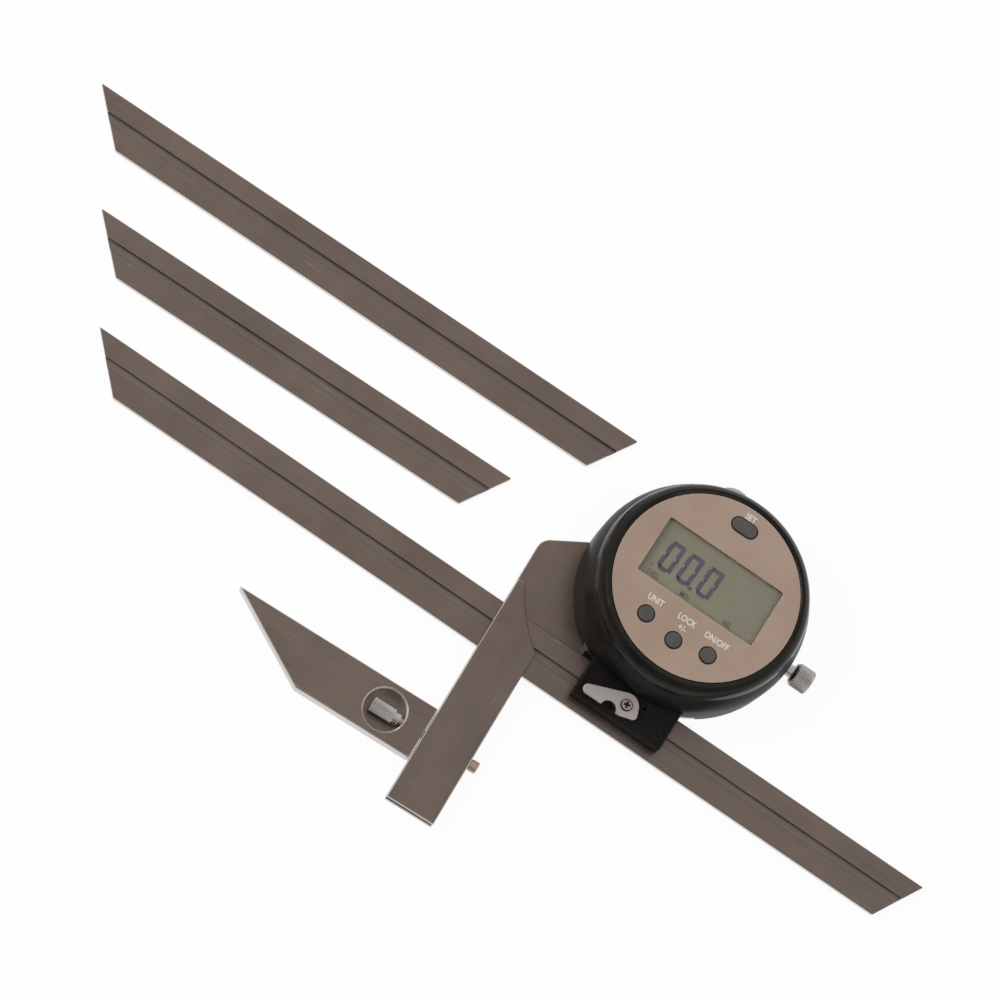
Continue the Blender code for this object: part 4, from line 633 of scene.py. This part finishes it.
def knurledSurface(stations, teeth, perTooth):
    # radius = station's radius less its flute depth times a rounded saw of the angle
    stations = np.asarray(stations, float)
    angles = np.linspace(0.0, 2 * pi, teeth * perTooth, endpoint=False)
    saw = np.abs(((angles * teeth / (2 * pi)) % 1.0) * 2.0 - 1.0)
    valley = np.clip(saw * sawGain - sawShift, 0.0, 1.0)
    radius = stations[:, 1:2] - stations[:, 2:3] * valley
    points = np.stack([stations[:, :1] + 0.0 * angles, radius * np.cos(angles), radius * np.sin(angles)], -1)
    return points, gridFaces(len(stations), len(angles))


knobShape = dict(
    start=32.6 * mm, collar=37.8 * mm, end=44.2 * mm, level=6.2 * mm, shank=2.0 * mm, radius=3.9 * mm,
    undercut=1.1 * mm, round=0.75 * mm, flute=0.26 * mm, teeth=36, perTooth=8, shankChamfer=0.2 * mm,
    innerStep=0.3 * mm, innerChamfer=0.15 * mm, flank=0.25 * mm, flankDrop=0.2 * mm, flankFluteShare=0.3,
    dishShares=(0.62, 0.56), dishDepth=0.25 * mm, roundSteps=5)


def makeKnob(shape):
    # stations run out along the head's +X: shank, sloped inner side, knurled grip, rounded end
    start, collar, end = shape["start"], shape["collar"], shape["end"]
    radius, edge, flute = shape["radius"], shape["round"], shape["flute"]
    grip = collar + shape["undercut"]
    share = np.linspace(0.0, 1.0, shape["roundSteps"])
    roundEnd = [(end - edge + edge * sin(a * pi / 2), radius - edge + edge * cos(a * pi / 2),
                 flute * (1.0 - a)) for a in share]
    chamfer = shape["shankChamfer"]
    dish = end - shape["dishDepth"]
    outer, inner = shape["dishShares"]
    shank = shape["shank"]
    stations = [(start, 0.0, 0.0), (start, shank - chamfer, 0.0), (start + chamfer, shank, 0.0),
                (collar, shank, 0.0), (collar, radius - edge - shape["innerStep"], 0.0),
                (collar + shape["innerChamfer"], radius - edge, 0.0),
                (grip - shape["flank"], radius - shape["flankDrop"], flute * shape["flankFluteShare"]),
                (grip, radius, flute)]
    stations += roundEnd + [(end, radius * outer, 0.0), (dish, radius * inner, 0.0), (dish, 0.0, 0.0)]
    points, faces = knurledSurface(stations, shape["teeth"], shape["perTooth"])
    points[..., 2] += shape["level"]
    return makePiece("knurledKnob", headPlace(points), faces, "brightSteel", node="lock_knob")


makeKnob(knobShape)
print("bezel and knob ready")


# Buttons: a stadium outline shrunk along a domed profile

buttonPlaces = {
    "modeCap": dict(node="mode_button", centre=(-11.0 * mm, -17.7 * mm), straight=0.0, radius=2.4 * mm),
    "holdCap": dict(node="hold_button", centre=(0.0, -19.8 * mm), straight=0.0, radius=2.4 * mm),
    "zeroCap": dict(node="zero_button", centre=(11.0 * mm, -17.7 * mm), straight=0.0, radius=2.4 * mm),
    "presetCap": dict(node="preset_button", centre=(0.0, 22.5 * mm), straight=2.0 * mm, radius=2.15 * mm),
}
buttonShape = dict(
    low=24.0 * mm, top=26.2 * mm, flange=0.7 * mm, flangeTop=24.6 * mm, edge=0.45 * mm, dome=0.12 * mm,
    steps=64, edgeSteps=6, crownShares=(0.8, 0.6, 0.4, 0.2, 0.0), sharp=40.0)


def makeButton(name, place, shape):
    # outline: a circle of the ring's radius, its right half moved by +straight and its left by -straight
    radius, edge, top = place["radius"], shape["edge"], shape["top"]
    quarter = np.linspace(0.0, pi / 2, shape["edgeSteps"])
    side = [(radius - edge + edge * cos(a), top - shape["dome"] - edge + edge * sin(a)) for a in quarter]
    crown = [((radius - edge) * s, top - shape["dome"] * s * s) for s in shape["crownShares"]]
    stations = [(0.0, shape["low"]), (radius + shape["flange"], shape["low"]),
                (radius + shape["flange"], shape["flangeTop"]), (radius, shape["flangeTop"])] + side + crown
    stations = np.array(stations)
    angles = (np.arange(shape["steps"]) + 0.5) * 2 * pi / shape["steps"]
    shift = np.sign(np.cos(angles)) * place["straight"]
    points = np.stack([stations[:, :1] * np.cos(angles) + shift + place["centre"][0],
                       stations[:, :1] * np.sin(angles) + place["centre"][1],
                       stations[:, 1:] + 0.0 * angles], -1)
    faces = gridFaces(len(stations), shape["steps"]).tolist()
    if place["straight"]:
        last = (len(stations) - 1) * shape["steps"]
        faces += [list(range(shape["steps"])), [last + i for i in range(shape["steps"])]]
    return makePiece(name, headPlace(points), faces, "buttonGrey", node=place["node"], angle=shape["sharp"])


for buttonName, buttonPlace in buttonPlaces.items():
    makeButton(buttonName, buttonPlace, buttonShape)
print("buttons ready")


# Display: seven-bar digits and small marks lying on the glass below the window

displayShape = dict(
    level=23.82 * mm, thick=0.03 * mm, width=5.1 * mm, height=10.4 * mm, bar=1.45 * mm, gap=0.10 * mm,
    lean=0.05, low=-3.3 * mm, cells=(-16.4 * mm, -9.7 * mm, -2.6 * mm), point=(-3.9 * mm, -2.9 * mm),
    pointSize=0.62 * mm, tick=(-17.8 * mm, -3.75 * mm), tickSize=(0.35 * mm, 1.3 * mm), tickLeanShare=1.2)
digitBars = {"0": "abcdef"}


def barOutline(first, second, bar, gap):
    # a bar between two corners: the side left of its way is longer, the other is cut back at 45 degrees
    first, second = np.array(first), np.array(second)
    along = (second - first) / np.linalg.norm(second - first)
    side = np.array([-along[1], along[0]]) * bar / 2
    start, end = first + along * gap, second - along * gap
    return [start - along * bar / 2 + side, end + along * bar / 2 + side,
            end - along * bar / 2 - side, start + along * bar / 2 - side]


def prismPoints(outlines, low, high):
    # each flat outline becomes a thin plate: its points at both heights, two lids and the sides
    points, faces = [], []
    for outline in outlines:
        base, count = len(points), len(outline)
        points += [(x, y, low) for x, y in outline] + [(x, y, high) for x, y in outline]
        faces.append([base + i for i in range(count)])
        faces.append([base + count + i for i in range(count)])
        faces += [[base + i, base + (i + 1) % count, base + count + (i + 1) % count, base + count + i]
                  for i in range(count)]
    return np.array(points), faces


def digitOutlines(digit, left, shape):
    width, height, bar = shape["width"] - shape["bar"], shape["height"] - shape["bar"], shape["bar"]
    x, y = left + bar / 2, shape["low"] + bar / 2
    corner = {"nw": (x, y + height), "ne": (x + width, y + height), "w": (x, y + height / 2),
              "e": (x + width, y + height / 2), "sw": (x, y), "se": (x + width, y)}
    ends = {"a": ("nw", "ne"), "b": ("ne", "e"), "c": ("e", "se"), "d": ("sw", "se"),
            "e": ("w", "sw"), "f": ("nw", "w")}
    lean = shape["lean"]
    outlines = [barOutline(corner[ends[b][0]], corner[ends[b][1]], bar, shape["gap"])
                for b in digitBars[digit]]
    return [[(px + lean * (py - y), py) for px, py in outline] for outline in outlines]


def circleOutline(centre, radius, steps=20):
    return [(centre[0] + radius * cos(2 * pi * i / steps), centre[1] + radius * sin(2 * pi * i / steps))
            for i in range(steps)]


def makeDigits(shape):
    outlines = []
    for left in shape["cells"]:
        outlines += digitOutlines("0", left, shape)
    outlines.append(circleOutline(shape["point"], shape["pointSize"]))
    (tx, ty), (tw, th) = shape["tick"], shape["tickSize"]
    lean = tw * shape["tickLeanShare"]
    outlines.append([(tx, ty), (tx + tw, ty), (tx + tw + lean, ty + th), (tx + lean, ty + th)])
    points, faces = prismPoints(outlines, shape["level"], shape["level"] + shape["thick"])
    return makePiece("displayDigits", headPlace(points), faces, "digitInk", body="head")


makeDigits(displayShape)


# Lettering: plain words, made a mesh before it is put in place

letterShape = dict(level=25.5 * mm, thick=0.03 * mm, capShare=0.7, narrow=0.8, curveSteps=3)
printStroke = 0.05 * mm
markStroke = 0.04 * mm
faceWords = [("SET", (0.15 * mm, 26.1 * mm), 2.0 * mm), ("UNIT", (-10.7 * mm, -12.5 * mm), 2.0 * mm),
             ("LOCK", (0.3 * mm, -12.3 * mm), 2.0 * mm), ("+/-", (0.3 * mm, -15.2 * mm), 2.0 * mm),
             ("ON/OFF", (11.0 * mm, -12.5 * mm), 2.0 * mm)]
displayWords = [("DEG", (-15.6 * mm, -5.7 * mm), 1.7 * mm), ("MIN", (-4.0 * mm, -5.7 * mm), 1.7 * mm),
                ("REL", (11.1 * mm, -5.7 * mm), 1.7 * mm)]


def makeWords(name, words, level, finish, stroke, shape):
    # every word's filled outline, squeezed to the narrow share, joined into one thin mesh
    thick, narrow = shape["thick"], shape["narrow"]
    points, faces = [], []
    for text, centre, height in words:
        curve = bpy.data.curves.new(name, "FONT")
        curve.body = text
        curve.size = height / shape["capShare"]
        curve.align_x = "CENTER"
        curve.align_y = "CENTER"
        curve.extrude = thick / 2
        curve.offset = stroke
        curve.resolution_u = shape["curveSteps"]
        holder = bpy.data.objects.new(name + "Text", curve)
        scene.collection.objects.link(holder)
        bpy.context.view_layer.update()
        graph = bpy.context.evaluated_depsgraph_get()
        flat = bpy.data.meshes.new_from_object(holder.evaluated_get(graph))
        base = len(points)
        points += [(v.co.x * narrow + centre[0], v.co.y + centre[1], v.co.z + level + thick / 2)
                   for v in flat.vertices]
        faces += [[base + i for i in face.vertices] for face in flat.polygons]
        bpy.data.objects.remove(holder)
        bpy.data.meshes.remove(flat)
    return makePiece(name, headPlace(np.array(points)), faces, finish, body="head")


makeWords("faceLabels", faceWords, letterShape["level"], "printInk", printStroke, letterShape)
makeWords("displayMarks", displayWords, displayShape["level"], "faintInk", markStroke, letterShape)
print("display and lettering ready")


# Lever screw: a domed head with a cross recess; the step round the head and the recess floor are painted
# black as shade

screwShape = dict(
    node="lever_screw", head=1.85 * mm, face=1.52 * mm, low=11.4 * mm, top=12.1 * mm, ring=11.65 * mm,
    shank=1.3 * mm, dome=0.10 * mm, arm=0.26 * mm, reach=1.0 * mm, deep=0.42 * mm, slope=0.10 * mm,
    steps=128, faceSteps=34, turn=radians(12.0))


def crossDepth(x, y, shape):
    # depth share: 1 inside either arm of the cross, falling to 0 over the slope's width outside it
    def arm(along, across):
        outside = np.maximum(np.abs(along) - shape["reach"], np.abs(across) - shape["arm"])
        return np.clip(1.0 - outside / shape["slope"], 0.0, 1.0)
    return np.maximum(arm(x, y), arm(y, x))


def makeScrew(shape):
    # rings from the foot up the shank, out under the head, and over the face to its centre
    low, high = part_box(shape["node"])
    centre = (low + high) / 2
    angles = np.linspace(0.0, 2 * pi, shape["steps"], endpoint=False) + shape["turn"]
    inner = np.linspace(1.0, 0.0, shape["faceSteps"])[1:]
    radii = [0.0, shape["shank"], shape["shank"], shape["head"], shape["head"], shape["face"], shape["face"]]
    heights = [low.z, low.z, shape["low"], shape["low"], shape["ring"], shape["ring"],
               shape["top"] - shape["dome"]]
    sideRings = len(radii)
    radii += list(shape["face"] * inner)
    heights += list(shape["top"] - shape["dome"] * inner ** 2)
    radii, heights = np.array(radii)[:, None], np.array(heights)[:, None]
    x, y = radii * np.cos(angles), radii * np.sin(angles)
    onFace = (np.arange(len(radii)) >= sideRings)[:, None]
    turned = angles - shape["turn"]
    recess = crossDepth(radii * np.cos(turned), radii * np.sin(turned), shape) * shape["deep"] * onFace
    points = np.stack([x + centre.x, y + centre.y, heights - recess], -1)
    faces = gridFaces(len(radii), shape["steps"])
    piece = makePiece("leverScrew", points, faces, "screwSteel", node=shape["node"])
    # painted shade: the ring round the head and the deep recess floor take black
    piece.data.materials.append(finishes["blackSteel"])
    for face in piece.data.polygons:
        away = (face.center.xy - centre.xy).length
        dark = away > shape["face"] or face.center.z < shape["top"] - shape["deep"]
        face.material_index = 1 if dark else 0
    return piece


makeScrew(screwShape)


# Softened copies of the plates and castings

# the last column, where given, paints a highlight on the flanks
softPieces = [
    ("stockPlate", "stock_plate", "stockSteel", 0.12 * mm, "flankHighlight"),
    ("stockBar", "stock_bar", "stockSteel", 0.12 * mm, "flankHighlight"),
    ("attachmentPlate", "attachment_plate", "attachmentSteel", 0.12 * mm, "flankHighlight"),
    ("clampBlock", "clamp_block", "blackSteel", 0.12 * mm, None),
    ("clampLever", "clamp_lever", "leverSteel", 0.15 * mm, None),
    ("headCase", "case", "caseBlack", 0.12 * mm, None),
    ("turretBase", "turret_base", "brightSteel", 0.10 * mm, None),
    ("rodHead", "clamp_rod", "screwSteel", 0.08 * mm, None),
]
for softName, softNode, softFinish, softWidth, softSide in softPieces:
    softenNode(softName, softNode, softFinish, softWidth, softSide)
print("plates ready")


# Thumb nut: knurled barrel and plain collar, bored from the collar's end

nutShape = dict(
    start=-66.6 * mm, barrel=7.9 * mm, collar=2.0 * mm, across=-78.6 * mm, level=3.0 * mm, radius=2.3 * mm,
    collarRadius=2.1 * mm, bore=1.4 * mm, wall=1.4 * mm, round=0.35 * mm, flute=0.2 * mm, teeth=26,
    perTooth=8, endShares=(1.6, 0.3), endFluteShare=0.2, shoulderShare=0.5, shoulderFluteShare=0.3,
    neckDepth=0.2 * mm, neckWidth=0.2 * mm, neckEnd=0.3 * mm, chamfer=0.15 * mm)


def makeNut(shape):
    start, radius, edge = shape["start"], shape["radius"], shape["round"]
    grip, end = start + shape["barrel"], start + shape["barrel"] + shape["collar"]
    flute, collar, bore = shape["flute"], shape["collarRadius"], shape["bore"]
    inset, run = shape["endShares"]
    shoulder, chamfer = edge * shape["shoulderShare"], shape["chamfer"]
    neck, floor = collar - shape["neckDepth"], start + shape["wall"]
    stations = [(start, 0.0, 0.0), (start, radius - edge * inset, 0.0),
                (start + edge * run, radius - edge, flute * shape["endFluteShare"]),
                (start + edge, radius, flute), (grip - shoulder, radius, flute),
                (grip, radius - shoulder, flute * shape["shoulderFluteShare"]), (grip, neck, 0.0),
                (grip + shape["neckWidth"], neck, 0.0), (grip + shape["neckEnd"], collar, 0.0),
                (end - chamfer, collar, 0.0), (end, collar - chamfer, 0.0), (end, bore, 0.0),
                (floor, bore, 0.0), (floor, 0.0, 0.0)]
    points, faces = knurledSurface(stations, shape["teeth"], shape["perTooth"])
    points[..., 1] += shape["across"]
    points[..., 2] += shape["level"]
    return makePiece("thumbNut", points, faces, "brightSteel", node="thumb_nut")


makeNut(nutShape)
print("thumb nut ready")


# Painted shade: a black block below the clamp block, beside the blade's upper edge, filling the gap there
# with shade

shadeBlockShape = dict(
    left=-18.6 * mm, right=-14.6 * mm, low=-32.5 * mm, high=-30.6 * mm, base=2.1 * mm, top=3.7 * mm)


def makeShadeBlock(shape):
    left, right, low, high = shape["left"], shape["right"], shape["low"], shape["high"]
    outline = [(left, low), (right, low), (right, high), (left, high)]
    points, faces = prismPoints([outline], shape["base"], shape["top"])
    # a dark piece standing in for the shade in the gap
    return makePiece("paintedShadeBlock", headPlace(points), faces, "blackSteel", body="head")


makeShadeBlock(shadeBlockShape)


# Studio: pale floor, soft lamps, camera

studio = dict(
    floorHalf=3.0, floorLevel=-0.02 * mm, floorColour=(0.90, 0.90, 0.90), floorGlow=0.93,
    skyFar=(0.92, 0.90, 0.89), skyNear=(0.30, 0.30, 0.31), skyPower=0.92, skyRange=(-0.75, 0.45))
softLamps = [
    dict(name="keyLamp", place=(-1.15, -0.35, 1.00), size=0.8, power=10.0, colour=(1.0, 0.98, 0.96)),
    dict(name="fillLamp", place=(0.70, -0.55, 0.95), size=0.9, power=3.0, colour=(0.97, 0.98, 1.0)),
]
photoCamera = dict(
    place=(-0.07906, -0.26537, 0.73544), right=(0.84785, 0.49423, 0.19240), up=(-0.52994, 0.80300, 0.27260),
    focalPixels=2551.9, centre=(500.0, 512.0), frame=1000.0, sensor=36.0, clip=20.0)


def unseenShare(tree):
    # 1 for rays that should meet plain white: camera, mirror and glass rays
    path = addNode(tree, "ShaderNodeLightPath")
    seen = calc(tree, "MAXIMUM", path.outputs["Is Camera Ray"], path.outputs["Is Glossy Ray"])
    return calc(tree, "MAXIMUM", seen, path.outputs["Is Transmission Ray"])


def makeFloor(look):
    half = look["floorHalf"]
    mesh = bpy.data.meshes.new("studioFloor")
    corners = [(-half, -half, 0.0), (half, -half, 0.0), (half, half, 0.0), (-half, half, 0.0)]
    mesh.from_pydata(corners, [], [(0, 1, 2, 3)])
    floor = bpy.data.objects.new("studioFloor", mesh)
    floor.location.z = look["floorLevel"]
    scene.collection.objects.link(floor)
    made = bpy.data.materials.new("studioPaper")
    made.use_nodes = True
    tree = made.node_tree
    tree.nodes.clear()
    matt = addNode(tree, "ShaderNodeBsdfDiffuse", {"Color": opaque(look["floorColour"])})
    glow = addNode(tree, "ShaderNodeEmission", {"Color": (1.0, 1.0, 1.0, 1.0), "Strength": 1.0})
    share = calc(tree, "MULTIPLY", unseenShare(tree), look["floorGlow"])
    both = addNode(tree, "ShaderNodeMixShader", {0: share, 1: matt.outputs[0], 2: glow.outputs[0]})
    end = addNode(tree, "ShaderNodeOutputMaterial")
    tree.links.new(both.outputs[0], end.inputs["Surface"])
    mesh.materials.append(made)


def makeSky(look):
    # the room is brighter beyond the object than on the camera's side
    world = bpy.data.worlds.new("studioRoom")
    scene.world = world
    world.use_nodes = True
    tree = world.node_tree
    tree.nodes.clear()
    place = addNode(tree, "ShaderNodeTexCoord")
    parts = addNode(tree, "ShaderNodeSeparateXYZ", {0: place.outputs["Generated"]})
    far = stretch(tree, parts.outputs["Y"], *look["skyRange"])
    room = blendColour(tree, far, opaque(look["skyNear"]), opaque(look["skyFar"]))
    path = addNode(tree, "ShaderNodeLightPath")
    white = blendColour(tree, path.outputs["Is Camera Ray"], room, (1.0, 1.0, 1.0, 1.0))
    power = stretch(tree, path.outputs["Is Camera Ray"], 0.0, 1.0, look["skyPower"], 1.0)
    back = addNode(tree, "ShaderNodeBackground", {"Color": white, "Strength": power})
    end = addNode(tree, "ShaderNodeOutputWorld")
    tree.links.new(back.outputs[0], end.inputs["Surface"])


def makeLamp(look):
    data = bpy.data.lights.new(look["name"], "AREA")
    data.size = look["size"]
    data.energy = look["power"]
    data.color = look["colour"]
    lamp = bpy.data.objects.new(look["name"], data)
    lamp.location = look["place"]
    lamp.rotation_euler = (-Vector(look["place"])).to_track_quat("-Z", "Y").to_euler()
    scene.collection.objects.link(lamp)


def makeCamera(look):
    right, up = Vector(look["right"]), Vector(look["up"])
    back = right.cross(up)
    data = bpy.data.cameras.new("photoCamera")
    data.sensor_width = look["sensor"]
    data.lens = look["focalPixels"] / look["frame"] * look["sensor"]
    data.shift_x = (look["frame"] / 2 - look["centre"][0]) / look["frame"]
    data.shift_y = (look["centre"][1] - look["frame"] / 2) / look["frame"]
    data.clip_end = look["clip"]
    camera = bpy.data.objects.new("photoCamera", data)
    turn = Matrix((right, up, back)).transposed().to_4x4()
    camera.matrix_world = Matrix.Translation(look["place"]) @ turn
    scene.collection.objects.link(camera)
    scene.camera = camera


makeFloor(studio)
makeSky(studio)
for softLamp in softLamps:
    makeLamp(softLamp)
makeCamera(photoCamera)
scene.view_settings.view_transform = "Standard"
print("studio ready, head turned", round(degrees(headTurn), 2), "degrees")
